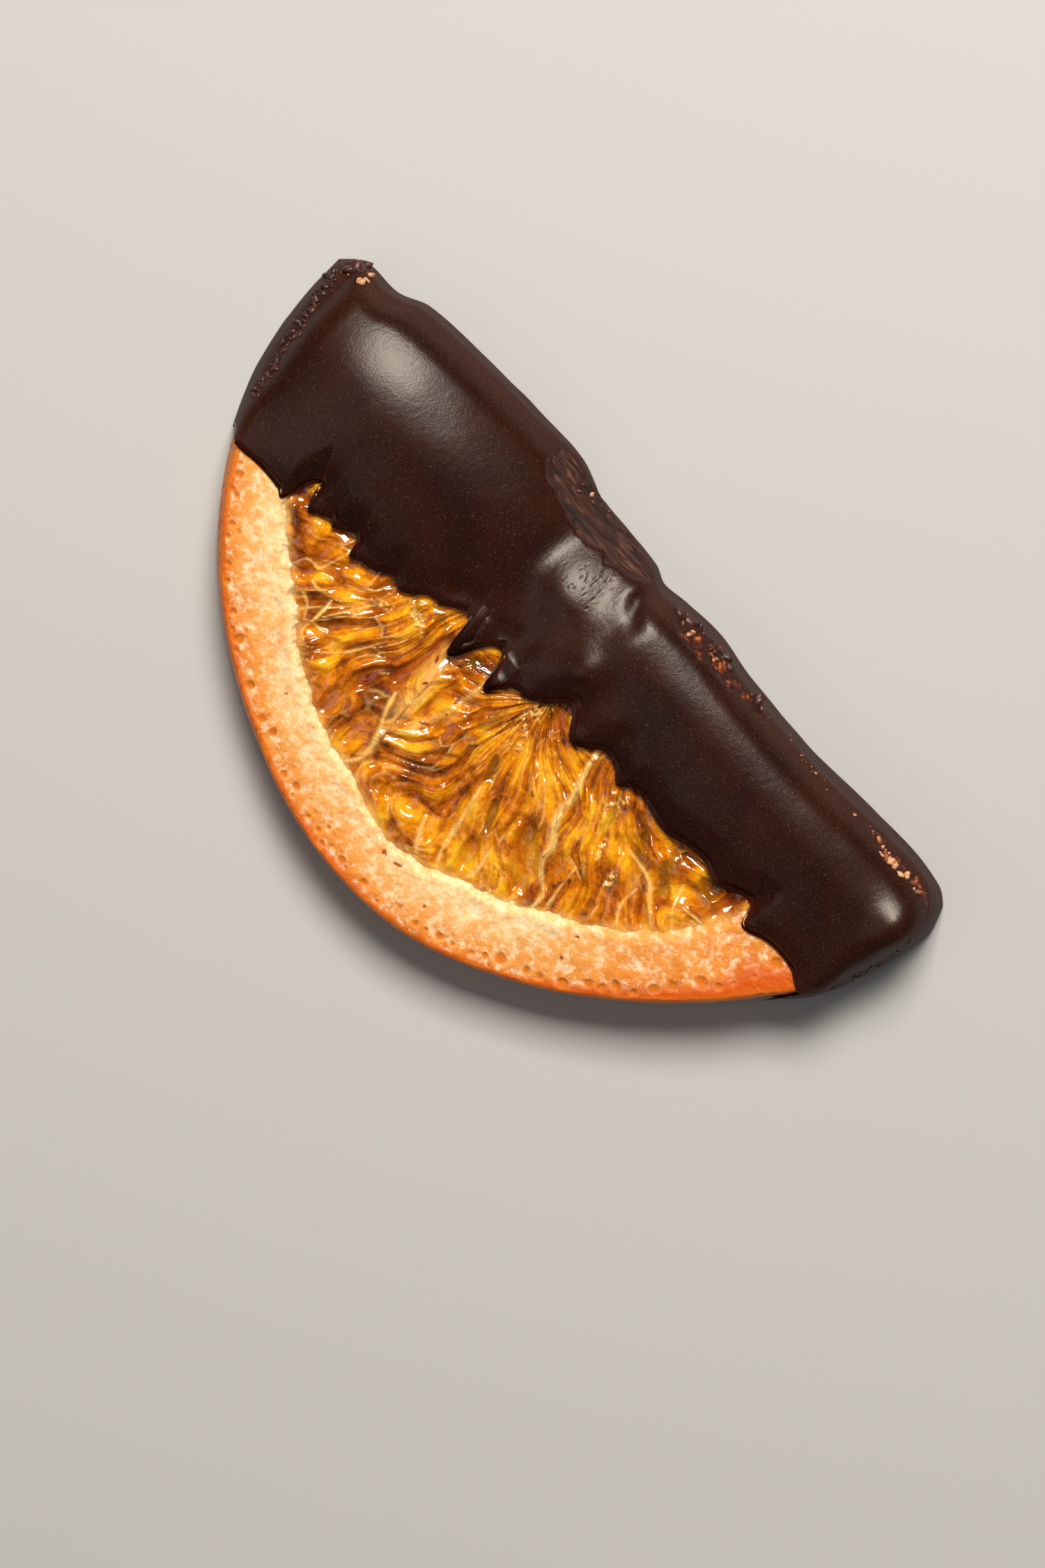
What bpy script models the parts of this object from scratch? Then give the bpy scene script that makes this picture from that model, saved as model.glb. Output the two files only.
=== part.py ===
"""Half a fresh orange slice, its cut side dipped in dark chocolate, lying on its back.

The slice is half of a round cut from one side of a 73 mm orange, so its rind is a zone of a sphere
and the shown face is a little smaller than the back one. The chocolate is a separate shell, open
along the dip line, with the slice in it. Lengths are in millimetres up to the last step, which
turns them to metres. +X runs along the dipped straight side, +Y out through it, +Z up to the shown
face, and the origin is under the middle of the whole thing.
"""
import math

import bmesh
import bpy
from mathutils import Vector, noise

MM = 0.001

# The orange round: angles are in degrees about the round's own centre, 0 along +X, -90 towards -Y
RIM_RADIUS = 35.7          # to the rind's outside, at half the slice's thickness
RIM_OVAL = 0.6             # the orange is this much longer along RIM_OVAL_AT
RIM_OVAL_AT = -80.0
RIM_SWELLS = ((-180, -0.7), (-170, -0.25), (-160, 0.1), (-148, 0.35), (-111, -0.35), (-91, 0.15),
              (-77, 0.4), (-61, -0.1), (-45, -0.3), (-28, 0.4), (-20, 1.3), (-10, 1.3), (0, 1.0))
OFF_MIDDLE = 8.0           # from the orange's middle to the slice's middle, which tapers the rind
SLICE_THICK = 7.0
CUT_Y = -1.5               # the straight cut, just short of the round's centre
TIP_Y = -3.0               # and where it meets the rind, as the knife ran out a little low
FLESH_RADIUS = ((-180, 29.4), (-143, 29.9), (-130, 29.0), (-110, 29.6), (-96, 29.7), (-85, 30.7),
                (-72, 29.7), (-58, 29.1), (-40, 29.2), (-26, 28.5), (0, 28.4))
RIM_ROUND = 0.5            # the rind's cut edges are this round
RIM_ROUND_SIDE = 0.12      # and stand in this little on the rind's side

# The flesh between its walls
WALL_ANGLES = (-170.0, -134.0, -100.0, -60.0, -24.0)
WALL_SHOULDER = 1.15       # degrees from a wall's crest to its foot
WALL_HALF = 0.45
WALL_HEIGHT = 0.3
WALL_GROOVE = 0.3
FLESH_SINK = 0.42          # the flesh lies this far under the pith
SAC_RELIEF = 0.17          # half the height of the juice sacs' ridges
SACS_IN_TURN = 62          # ridges in a whole turn
GAP_DEPTH = 0.7            # the small hollows where flesh has come away from the pith
GAP_ANGLES = (-138.0, -119.0, -104.0, -84.0, -71.0, -47.0, -35.0)
GAP_HALF = 2.2             # degrees
PITH_WAVE = 0.05
BACK_RELIEF = 0.6          # the back is pressed flatter than the shown face

# How it lies: the coat lifts the dipped half, and the bare half sags down on to the table
FOOT = 0.85                # chocolate under the slice
CLEAR = 0.3                # between the coat's inside and the slice
LIFT = FOOT + CLEAR
SAG_FROM = -17.5
SAG_TO = -35.0

# The coat
COAT = 0.8                 # over the shown face
COAT_EDGE = 0.42           # at the dip line
COAT_THINNEST = 0.5        # in the deepest dents
WALL_THINNEST = 0.2        # over the pocket, in the rough place and the notch too
SHOULDER_ROUND = 1.2       # how that wall rounds off past the pocket
EDGE_SWELL_OVER = 1.6      # the coat reaches its full thickness this far in from the dip line
RIM_COAT = 0.7             # round the rind
RIM_COAT_EDGE = 0.5        # and where it starts
SIDE_ROUND = 2.3           # along the straight side, front edge
RIM_EDGE_ROUND = 1.2
FOOT_ROUND = 0.7
FACE_KEEP_IN = 0.28        # the shown face's grid ends this far in from the coat's outside
STRAIGHT_SIDE = ((-36, -1.7), (-33.5, -1.1), (-30.5, -0.9), (-28, 0.3), (-22, 1.0), (-15, 1.35),
                 (-10.5, 1.4), (-7, 0.5), (-3.5, 0.35), (0, 0.2), (1.6, -0.35), (4, 0.0),
                 (8, 0.3), (12, -0.15), (20, -0.25), (27, 0.25), (32, 0.45), (35, 0.1), (38, -0.6))
TIP_ROUND = 2.6            # the coat's two ends are this round
DIP_LEVEL = ((-36, -17.7), (-29, -17.6), (-25, -17.4), (-22.8, -15.2), (-18, -15.5), (-14, -15.2),
             (-10, -14.7), (-7.6, -12.5), (-4, -13.0), (0.5, -13.3), (3.4, -11.7), (8, -12.0),
             (14, -12.1), (20, -11.7), (24.8, -11.1), (28, -12.1), (33, -12.4), (38, -12.6))
# Drips below the dip line: place along X, half width, length
DRIPS = ((-24.4, 0.5, 0.9), (-21.6, 0.8, 0.7), (-16.8, 0.8, 1.0), (-12.4, 0.9, 0.4),
         (-6.0, 0.75, 3.6), (-1.8, 0.95, 2.8), (0.7, 0.5, 0.6), (5.3, 0.9, 0.8), (10.4, 0.9, 0.6),
         (16.4, 0.9, 0.6), (22.2, 0.8, 0.4), (26.0, 0.6, 0.9))
BACK_DIP_LEVEL = ((-36, -18.2), (-28, -17.2), (-20, -17.8), (-12, -16.6), (-4, -17.4), (4, -16.4),
                  (12, -17.0), (20, -16.0), (28, -15.4), (38, -15.2))
# Where the coat starts on the rind, from the shown face through three levels down to the back
LEFT_MOUTH = (-149.4, -150.2, -150.8, -150.5, -149.6)
RIGHT_MOUTH = (-21.6, -25.0, -27.2, -27.0, -25.5)
LEVELS_DOWN = (0.28, 0.56, 0.84)
LEFT_TIP = -175.6
RIGHT_TIP = -4.0
# Soft swells and dents of the coat's shown face: x, y, half length, half width, height
SWELLS = ((-21.0, -4.6, 11.0, 3.6, 0.55), (-24.0, -11.5, 8.0, 4.0, 0.25), (19.5, -3.4, 15.0, 2.6, 0.7),
          (-4.4, -5.0, 2.4, 3.6, 0.45), (1.2, -2.4, 1.7, 3.4, -0.75), (-12.0, -9.5, 4.5, 3.5, -0.2),
          (2.6, -8.2, 2.0, 2.4, 0.35), (20.0, -9.5, 8.0, 2.2, -0.15), (-5.6, -11.5, 0.9, 5.0, 0.4),
          (-1.9, -13.0, 1.0, 3.0, 0.35))
# The rough place where the coat broke as it was lifted off
SCAR_FROM = -12.3
SCAR_TO = 0.9
SCAR_DEEP_Y = -2.0         # its inner edge in the middle, curving out to the straight side
SCAR_CURVE = 1.8
SCAR_DEPTH = 0.75
SCAR_ROUGH = 0.35
# The broken tip at the coat's left end
TIP_NUB = (-34.1, -1.4)
TIP_NUB_REACH = 1.1
TIP_NUB_HEIGHT = 1.1

# Mesh density
SLICE_COLUMNS = 104
FLESH_ROWS = (0.22, 0.36, 0.46, 0.53, 0.59, 0.65, 0.71, 0.77, 0.83, 0.89, 0.945, 0.98)
PITH_ROWS = (0.0, 0.35, 0.7, 0.92)
BACK_FLESH_ROWS = (0.4, 0.7, 0.88, 0.97)
BACK_PITH_ROWS = (0.0, 0.5, 0.92)
RIM_LEVELS = (0.93, 0.62, 0.34, 0.07)
COAT_COLUMNS = 78
COAT_ROWS = (0.0, 0.04, 0.1, 0.22, 0.36, 0.5, 0.62, 0.72, 0.81, 0.89, 0.95, 1.0)
POCKET_ROWS = (0.0, 0.35, 0.7, 1.0)


def ramp(low, high, x):
    """0 below low, 1 above high, and a smooth rise between."""
    t = min(1.0, max(0.0, (x - low) / (high - low)))
    return t * t * (3.0 - 2.0 * t)


def along(table, x):
    """Smooth curve through (place, value) pairs."""
    last = len(table) - 1
    if x <= table[0][0]:
        return table[0][1]
    if x >= table[last][0]:
        return table[last][1]
    k = 0
    while table[k + 1][0] < x:
        k += 1
    before = table[max(k - 1, 0)]
    start = table[k]
    end = table[k + 1]
    after = table[min(k + 2, last)]
    step = end[0] - start[0]
    slope_in = (end[1] - before[1]) / (end[0] - before[0]) * step
    slope_out = (after[1] - start[1]) / (after[0] - start[0]) * step
    t = (x - start[0]) / step
    return ((2 * t**3 - 3 * t**2 + 1) * start[1] + (t**3 - 2 * t**2 + t) * slope_in
            + (3 * t**2 - 2 * t**3) * end[1] + (t**3 - t**2) * slope_out)


def hump(x, middle, half_width):
    """1 at the middle, 0 at a little over the half width on each side."""
    return math.exp(-((x - middle) / half_width) ** 2)


def polar(angle, radius):
    """Flat point at an angle and radius about the round's centre."""
    turn = math.radians(angle)
    return Vector((math.cos(turn) * radius, math.sin(turn) * radius))


def rind_radius(angle, height):
    """Radius of the rind's outside at an angle, at a height over the slice's back."""
    middle = RIM_RADIUS + RIM_OVAL * math.cos(2 * math.radians(angle - RIM_OVAL_AT))
    middle += along(RIM_SWELLS, angle)
    off = OFF_MIDDLE + height - SLICE_THICK / 2
    return math.sqrt(middle**2 + OFF_MIDDLE**2 - off**2)


def sag(y):
    """How far the bare half has sagged."""
    return LIFT * (1.0 - ramp(SAG_TO, SAG_FROM, y))


def cut_line(x):
    """The slice's straight cut, which bends a little where the flesh meets the pith."""
    away = abs(x)
    edge = FLESH_RADIUS[0][1]
    edge_y = TIP_Y * edge / RIM_RADIUS
    if away > edge:
        return TIP_Y * away / RIM_RADIUS
    return CUT_Y + (edge_y - CUT_Y) * away / edge


def tip_angle(side, y):
    """Angle at which the rind's outside is at the height y on the left or right."""
    start = -180.0 if side < 0 else 0.0
    lean = math.degrees(math.asin(-y / rind_radius(start, SLICE_THICK / 2)))
    return start - side * lean


def face_relief(angle, radius):
    """Height of the slice's face against the pith's level."""
    edge = along(FLESH_RADIUS, angle)
    if radius >= edge:
        return PITH_WAVE * (noise.noise(Vector((radius * 0.5, angle * 0.25, 3.0))) - 1.0)
    inside = ramp(0.0, 0.9, edge - radius)
    turn = math.radians(angle)
    drift = 1.6 * noise.noise(Vector((radius * 0.12, angle * 0.05, 0.0)))
    sacs = math.cos(SACS_IN_TURN * turn + drift * 3.0)
    sacs *= 0.6 + 0.4 * math.sin(radius * 0.75 + 5.0 * noise.noise(Vector((angle * 0.14, 7.0, 0.0))))
    height = -FLESH_SINK * inside + SAC_RELIEF * sacs * inside
    for wall in WALL_ANGLES:
        off = abs(math.radians(angle - wall)) * radius
        height += WALL_HEIGHT * hump(off, 0.0, WALL_HALF) * inside
        height -= WALL_GROOVE * hump(off, 2.6 * WALL_HALF, WALL_HALF) * inside
    for gap in GAP_ANGLES:
        height -= GAP_DEPTH * hump(angle, gap, GAP_HALF) * hump(edge - radius, 0.8, 0.9)
    return min(height, 0.0)


def column_angles():
    """Angles of the slice's columns: even, but with three on each wall between the segments."""
    left = tip_angle(-1, TIP_Y)
    right = tip_angle(1, TIP_Y)
    step = (right - left) / SLICE_COLUMNS
    shifts = (-WALL_SHOULDER, 0.0, WALL_SHOULDER)
    walls = [wall + shift for wall in WALL_ANGLES for shift in shifts]
    even = [left + step * i for i in range(SLICE_COLUMNS + 1)]
    kept = [a for a in even if all(abs(a - w) > 0.5 * step for w in walls)]
    return sorted(kept + walls)


def build_slice():
    """The orange: a polar grid on each face, the rind's side between them, and the straight cut."""
    mesh = bmesh.new()
    angles = column_angles()
    centre = Vector((0.0, CUT_Y))

    def put(flat, z):
        return mesh.verts.new((flat.x, flat.y, z + LIFT - sag(flat.y)))

    def face_rows(back, flesh_rows, pith_rows):
        level = 0.0 if back else SLICE_THICK
        outward = -BACK_RELIEF if back else 1.0
        rows = [[] for _ in flesh_rows + pith_rows]
        for angle in angles:
            edge = along(FLESH_RADIUS, angle)
            rim = rind_radius(angle, level) - RIM_ROUND
            for row, part in zip(rows, flesh_rows):
                z = level + outward * face_relief(angle, part * edge)
                row.append(put(centre.lerp(polar(angle, edge), part), z))
            for row, part in zip(rows[len(flesh_rows):], pith_rows):
                radius = edge + (rim - edge) * part
                z = level + outward * face_relief(angle, radius)
                row.append(put(polar(angle, radius), z))
        return rows

    def rind_row(share):
        z = SLICE_THICK * share
        stand_in = RIM_ROUND_SIDE if share in (RIM_LEVELS[0], RIM_LEVELS[-1]) else 0.0
        return [put(polar(angle, rind_radius(angle, z) - stand_in), z) for angle in angles]

    front = face_rows(False, FLESH_ROWS, PITH_ROWS)
    back = face_rows(True, BACK_FLESH_ROWS, BACK_PITH_ROWS)
    rows = front + [rind_row(share) for share in RIM_LEVELS] + back[::-1]
    for row, following in zip(rows, rows[1:]):
        for i in range(len(row) - 1):
            mesh.faces.new((row[i], row[i + 1], following[i + 1], following[i]))
    top = put(centre, SLICE_THICK - FLESH_SINK)
    bottom = put(centre, FLESH_SINK * BACK_RELIEF)
    for i in range(len(angles) - 1):
        mesh.faces.new((top, front[0][i + 1], front[0][i]))
        mesh.faces.new((bottom, back[0][i], back[0][i + 1]))
    half = len(front) + len(RIM_LEVELS) // 2
    close_cut(mesh, top, bottom, [row[0] for row in rows], half)
    close_cut(mesh, top, bottom, [row[-1] for row in rows], half)
    return finish_mesh(mesh, "orange_slice")


def close_cut(mesh, top, bottom, side, half):
    """Close one half of the straight cut: the column's front points to its back points."""
    front = [top] + side[:half]
    back = [bottom] + side[:half - 1:-1]
    i = 0
    j = 0
    while i < len(front) - 1 or j < len(back) - 1:
        step_front = i < len(front) - 1
        if step_front and j < len(back) - 1:
            step_front = (front[i + 1].co - back[j].co).length <= (front[i].co - back[j + 1].co).length
        if step_front:
            corners = (front[i], front[i + 1], back[j])
            i += 1
        else:
            corners = (front[i], back[j + 1], back[j])
            j += 1
        if len(set(corners)) == 3:
            mesh.faces.new(corners)


def dip_line(x, back=False):
    """How far down the coat runs at a place along X."""
    if back:
        return along(BACK_DIP_LEVEL, x)
    y = along(DIP_LEVEL, x)
    for place, half_width, length in DRIPS:
        y -= length * hump(x, place, half_width)
    return y


def rim_drop(distance, edge_round):
    """How far a rounded edge has dropped at a distance in from its side."""
    if distance >= edge_round:
        return 0.0
    inner = edge_round - max(distance, 0.0)
    return edge_round - math.sqrt(max(edge_round**2 - inner**2, 0.0))


def scar(x, y):
    """1 in the rough broken place on the straight side, 0 outside it."""
    middle = (SCAR_FROM + SCAR_TO) / 2
    inner_edge = SCAR_DEEP_Y + SCAR_CURVE * ((x - middle) / (SCAR_TO - middle)) ** 2
    across = ramp(SCAR_FROM - 0.4, SCAR_FROM + 0.4, x) * (1.0 - ramp(SCAR_TO - 0.4, SCAR_TO + 0.4, x))
    return across * ramp(inner_edge - 0.3, inner_edge + 0.3, y)


def coat_thickness(x, y, from_dip):
    """Thickness of the coat's shown face."""
    thick = COAT
    for sx, sy, length, width, height in SWELLS:
        thick += height * hump(x, sx, length) * hump(y, sy, width)
    share = ramp(0.0, EDGE_SWELL_OVER, from_dip) ** 0.7
    return COAT_EDGE + (max(thick, COAT_THINNEST) - COAT_EDGE) * share


def patch_point(edges, s, v):
    """Point of a patch whose four edges are given as functions of 0 to 1."""
    low, high, left, right = edges
    ruled = left(v).lerp(right(v), s) + low(s).lerp(high(s), v)
    corners = low(0).lerp(low(1), s).lerp(high(0).lerp(high(1), s), v)
    return ruled - corners


def shell_edges(inner, back):
    """The four edges of one face of the coat: dip line, straight side and the two rims.

    The outer faces keep in from the sides by their edge's round, and the pocket's by nothing.
    """
    z = 0.0 if back else SLICE_THICK
    k = 4 if back else 0
    keep_in = FOOT_ROUND if back else FACE_KEEP_IN
    extra = RIM_COAT - keep_in
    tips = (LEFT_TIP, RIGHT_TIP)
    if inner:
        extra = CLEAR
        tips = (tip_angle(-1, TIP_Y + CLEAR), tip_angle(1, TIP_Y + CLEAR))

    def rim(mouth, tip, v):
        angle = mouth + (tip - mouth) * v
        thin = 0.0 if inner else rim_thinning(v)
        return polar(angle, rind_radius(angle, z) + extra - thin)

    def left(v):
        return rim(LEFT_MOUTH[k], tips[0], v)

    def right(v):
        return rim(RIGHT_MOUTH[k], tips[1], v)

    def low(s):
        start = left(0)
        end = right(0)
        x = start.x + (end.x - start.x) * s
        hold = ramp(0.0, 0.035, s) * (1.0 - ramp(0.965, 1.0, s))
        near = start.y if s < 0.5 else end.y
        return Vector((x, near + (dip_line(x, back) - near) * hold))

    def high(s):
        start = left(1)
        end = right(1)
        x = start.x + (end.x - start.x) * s
        if inner:
            return Vector((x, cut_line(x) + CLEAR))
        near = start.y if s < 0.5 else end.y
        hold = tip_hold(min(x - start.x, end.x - x))
        return Vector((x, near + (along(STRAIGHT_SIDE, x) - keep_in - near) * hold))

    return low, high, left, right


def tip_hold(distance):
    """0 at an end of the straight side, rising on a quarter circle to 1."""
    short = max(0.0, 1.0 - distance / TIP_ROUND)
    return math.sqrt(1.0 - short**2)


def rim_thinning(v):
    """How much thinner the coat round the rind is near the dip line."""
    return (RIM_COAT - RIM_COAT_EDGE) * (1.0 - ramp(0.0, 0.3, v))


def least_height(x, y):
    """How low the coat's shown face may go so that it still covers the slice."""
    past_pocket = y - cut_line(x) - CLEAR
    covered = LIFT + SLICE_THICK + CLEAR + WALL_THINNEST - sag(y)
    return covered - 1.5 * rim_drop(SHOULDER_ROUND - past_pocket, SHOULDER_ROUND)


def coat_front(s, v):
    """Point on the coat's shown face."""
    edges = shell_edges(False, False)
    flat = patch_point(edges, s, v)
    from_dip = (flat - edges[0](s)).length
    angle = math.degrees(math.atan2(min(flat.y, -0.01), flat.x))
    from_rim = rind_radius(angle, SLICE_THICK) + RIM_COAT - flat.length
    from_side = along(STRAIGHT_SIDE, flat.x) - flat.y
    z = LIFT + SLICE_THICK + CLEAR - sag(flat.y) + coat_thickness(flat.x, flat.y, from_dip)
    z -= rim_drop(from_side, SIDE_ROUND)
    z -= rim_drop(from_rim, RIM_EDGE_ROUND) * ramp(0.0, 0.5, from_dip)
    broken = scar(flat.x, flat.y)
    if broken > 0.0:
        rough = noise.fractal(Vector((flat.x * 0.9, flat.y * 0.9, 5.0)), 0.7, 2.0, 3)
        z -= broken * (SCAR_DEPTH + SCAR_ROUGH * rough)
    z = max(z, least_height(flat.x, flat.y))
    return nudge_tip(Vector((flat.x, flat.y, z)))


def nudge_tip(point):
    """Draw the coat out into the broken tip at its left end."""
    near = hump((point.xy - Vector(TIP_NUB)).length, 0.0, TIP_NUB_REACH)
    return point + Vector((-0.25, 1.0, 0.0)) * TIP_NUB_HEIGHT * near


def coat_back(s, v):
    """Point on the coat's flat foot."""
    flat = patch_point(shell_edges(False, True), s, v)
    return Vector((flat.x, flat.y, 0.0))


def pocket_front(s, v):
    """Point on the inside of the coat, over the slice's shown face."""
    edges = shell_edges(True, False)
    flat = patch_point(edges, s, v)
    return Vector((flat.x, flat.y, LIFT + SLICE_THICK + CLEAR - sag(flat.y)))


def pocket_back(s, v):
    """Point on the inside of the coat, under the slice."""
    flat = patch_point(shell_edges(True, True), s, v)
    return Vector((flat.x, flat.y, FOOT))


def rim_wall(v, k, side, inner):
    """Point of the coat beside the rind, at the k-th level down from the shown face."""
    mouth = (LEFT_MOUTH if side < 0 else RIGHT_MOUTH)[k]
    tip = LEFT_TIP if side < 0 else RIGHT_TIP
    if inner:
        tip = tip_angle(side, TIP_Y + CLEAR)
    angle = mouth + (tip - mouth) * v
    share = LEVELS_DOWN[k - 1]
    if inner:
        z_slice = SLICE_THICK * (1.0 - share)
        flat = polar(angle, rind_radius(angle, z_slice) + CLEAR)
        return Vector((flat.x, flat.y, LIFT + z_slice - sag(flat.y)))
    z = (LIFT + SLICE_THICK + COAT) * (1.0 - share)
    flat = polar(angle, rind_radius(angle, min(z, SLICE_THICK)) + RIM_COAT - rim_thinning(v))
    return nudge_tip(Vector((flat.x, flat.y, z)))


def build_coat():
    """The chocolate: rings from the dip line to the straight side, outside and inside."""
    mesh = bmesh.new()
    steps = [i / COAT_COLUMNS for i in range(COAT_COLUMNS + 1)]

    def ring(v, front, back, inner):
        points = [front(s, v) for s in steps]
        points += [rim_wall(v, k, 1, inner) for k in (1, 2, 3)]
        points += [back(s, v) for s in reversed(steps)]
        points += [rim_wall(v, k, -1, inner) for k in (3, 2, 1)]
        return [mesh.verts.new(point) for point in points]

    def join(first, second):
        count = len(first)
        for i in range(count):
            j = (i + 1) % count
            mesh.faces.new((first[i], first[j], second[j], second[i]))

    def cap(last, mid_rows):
        count = COAT_COLUMNS + 1
        front = last[:count]
        right = last[count:count + 3]
        back = last[count + 3:2 * count + 3][::-1]
        left = last[2 * count + 3:][::-1]
        rows = [front]
        for k in range(3):
            row = [left[k]]
            row += [mesh.verts.new(mid_rows(s, k)) for s in steps[1:-1]]
            row += [right[k]]
            rows.append(row)
        rows.append(back)
        for row, following in zip(rows, rows[1:]):
            for i in range(count - 1):
                mesh.faces.new((row[i], row[i + 1], following[i + 1], following[i]))

    def outer_mid(s, k):
        front = coat_front(s, 1.0)
        back = coat_back(s, 1.0)
        share = LEVELS_DOWN[k]
        z = front.z * (1.0 - share)
        y = along(STRAIGHT_SIDE, front.x)
        if SCAR_FROM < front.x < SCAR_TO:
            y += SCAR_ROUGH * noise.noise(Vector((front.x * 1.1, z * 1.1, 2.0)))
        wall = rim_wall(1.0, k + 1, -1 if s < 0.5 else 1, False)
        x = front.x + (back.x - front.x) * share
        hold = tip_hold(abs(x - wall.x))
        return Vector((x, wall.y + (max(y, front.y) - wall.y) * hold, z))

    def inner_mid(s, k):
        front = pocket_front(s, 1.0)
        back = pocket_back(s, 1.0)
        return front.lerp(back, LEVELS_DOWN[k])

    outer_rings = [ring(v, coat_front, coat_back, False) for v in COAT_ROWS]
    inner_rings = [ring(v, pocket_front, pocket_back, True) for v in POCKET_ROWS]
    for rings in (outer_rings, inner_rings):
        for first, second in zip(rings, rings[1:]):
            join(first, second)
    join(outer_rings[0], inner_rings[0])
    cap(outer_rings[-1], outer_mid)
    cap(inner_rings[-1], inner_mid)
    return finish_mesh(mesh, "chocolate_coat")


def finish_mesh(mesh, name):
    """Turn a mesh drawn in millimetres to metres, faces out, as an object of the given name."""
    bmesh.ops.triangulate(mesh, faces=mesh.faces[:])
    bmesh.ops.recalc_face_normals(mesh, faces=mesh.faces[:])
    bmesh.ops.scale(mesh, vec=(MM, MM, MM), verts=mesh.verts[:])
    data = bpy.data.meshes.new(name)
    mesh.to_mesh(data)
    mesh.free()
    return bpy.data.objects.new(name, data)


def paint(piece, name, colour, roughness):
    """Give a piece its plain material."""
    material = bpy.data.materials.new(name)
    material.use_nodes = True
    shader = material.node_tree.nodes["Principled BSDF"]
    shader.inputs["Base Color"].default_value = (*colour, 1.0)
    shader.inputs["Roughness"].default_value = roughness
    shader.inputs["Metallic"].default_value = 0.0
    piece.data.materials.append(material)


def stand_on_origin(pieces):
    """Move the pieces so that the origin is under the middle of them all."""
    points = [vert.co for piece in pieces for vert in piece.data.vertices]
    low = Vector([min(point[k] for point in points) for k in range(3)])
    high = Vector([max(point[k] for point in points) for k in range(3)])
    shift = Vector(((low.x + high.x) / 2, (low.y + high.y) / 2, low.z))
    print("circle centre stands at", [round(-value / MM, 3) for value in shift])
    for piece in pieces:
        for vert in piece.data.vertices:
            vert.co -= shift


def main():
    for old in list(bpy.data.objects):
        bpy.data.objects.remove(old, do_unlink=True)
    group = bpy.data.collections.new("chocolate_orange_slice")
    bpy.context.scene.collection.children.link(group)
    fruit = build_slice()
    coat = build_coat()
    paint(fruit, "orange_flesh_and_rind", (0.80, 0.33, 0.03), 0.35)
    paint(coat, "dark_chocolate", (0.030, 0.012, 0.008), 0.42)
    stand_on_origin((fruit, coat))
    for piece in (fruit, coat):
        group.objects.link(piece)
        print(piece.name, len(piece.data.polygons), "triangles")


main()
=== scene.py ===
"""Chocolate dipped orange slice: half a fresh round with its rind on, its straight side in dark chocolate.

Lengths are in millimetres about the middle of the orange round, +X along the dipped straight side,
+Y out through it and +Z up to the shown face, until each piece is turned to metres in the model's frame.
"""

import functools
import math

import bmesh
import bpy
import numpy as np
from mathutils import Matrix, Vector, bvhtree, kdtree


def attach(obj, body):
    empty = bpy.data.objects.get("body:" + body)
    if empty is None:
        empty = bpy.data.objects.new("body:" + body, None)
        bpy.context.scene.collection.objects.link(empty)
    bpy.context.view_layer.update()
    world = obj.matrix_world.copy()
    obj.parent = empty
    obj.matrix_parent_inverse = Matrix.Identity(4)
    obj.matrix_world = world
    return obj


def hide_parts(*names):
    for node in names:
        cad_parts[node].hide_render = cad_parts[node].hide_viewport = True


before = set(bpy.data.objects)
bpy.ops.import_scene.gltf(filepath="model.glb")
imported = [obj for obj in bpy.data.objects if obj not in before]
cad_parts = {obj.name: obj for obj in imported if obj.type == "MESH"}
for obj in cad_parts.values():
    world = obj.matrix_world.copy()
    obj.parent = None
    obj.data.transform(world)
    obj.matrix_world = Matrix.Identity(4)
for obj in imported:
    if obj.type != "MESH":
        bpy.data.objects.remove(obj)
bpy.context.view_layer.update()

MM = 0.001
ROUND_MIDDLE = (-0.838, 17.669, 0.0)  # where the round's middle stands in the model's frame

# The orange round: angles in degrees about its middle, 0 along +X, -90 towards -Y
RIM_RADIUS = 35.7
RIM_OVAL = 0.6
RIM_OVAL_AT = -80.0
RIM_SWELLS = ((-180, -0.7), (-170, -0.25), (-160, 0.1), (-148, 0.35), (-111, -0.35), (-91, 0.15),
              (-77, 0.4), (-61, -0.1), (-45, -0.3), (-28, 0.4), (-20, 1.3), (-10, 1.3), (0, 1.0))
OFF_MIDDLE = 8.0  # the slice was cut this far from the orange's middle
SLICE_THICK = 7.0
RIM_CORNER = 0.45  # the rind's edges are this round
RIM_CORNER_IN = 0.34  # and this far in from its outside
CUT_Y = -1.5  # the straight cut at its middle
TIP_Y = -3.0  # and at its two tips
FLESH_RADIUS = ((-180, 29.4), (-143, 29.9), (-130, 29.0), (-110, 29.6), (-96, 29.7), (-85, 30.7),
                (-72, 29.7), (-58, 29.1), (-40, 29.2), (-26, 28.5), (0, 28.4))
RIND_ARC = 36.0  # radius at which angles are turned into millimetres round the rind
COAT_ARC = 37.0  # and round the coat
FOOT = 0.85  # chocolate under the slice
CLEAR = 0.3  # gap between the slice and the coat's inside
LIFT = FOOT + CLEAR
SAG_FROM = -17.5  # the bare half comes down to the table from here
SAG_TO = -35.0  # to here
FACE = SLICE_THICK + LIFT  # height of the shown face over the table

# The coat of chocolate
WALL_THINNEST = 0.2
SHOULDER_ROUND = 1.2
EDGE_BEAD = 0.6  # the coat's edge is this round
EDGE_UNDER = 0.6  # it starts this far under the pith's level
EDGE_HIGH = 0.85  # and rises this far over its round
EDGE_IN_FLESH = 0.42  # over the flesh, which is lower, it lies this much lower
DOME_REACH = 7.5  # the coat swells to its full depth over this far
DOME_SHARE = 0.6  # this share of it, the rest within the lip's reach
LIP_REACH = 2.0
RIM_COAT = 0.7  # the coat's thickness round the rind
RIM_COAT_EDGE = 0.5  # and next to the dip line
SIDE_ROUND = 2.4
LEAST_ROUND = 1.4
LEAST_FALL = 2.5  # how much faster its least height falls than its own rounds
LEAST_BLEND = 0.4
RIM_EDGE_ROUND = 1.2  # round of the coat's ends near the dip line
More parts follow.
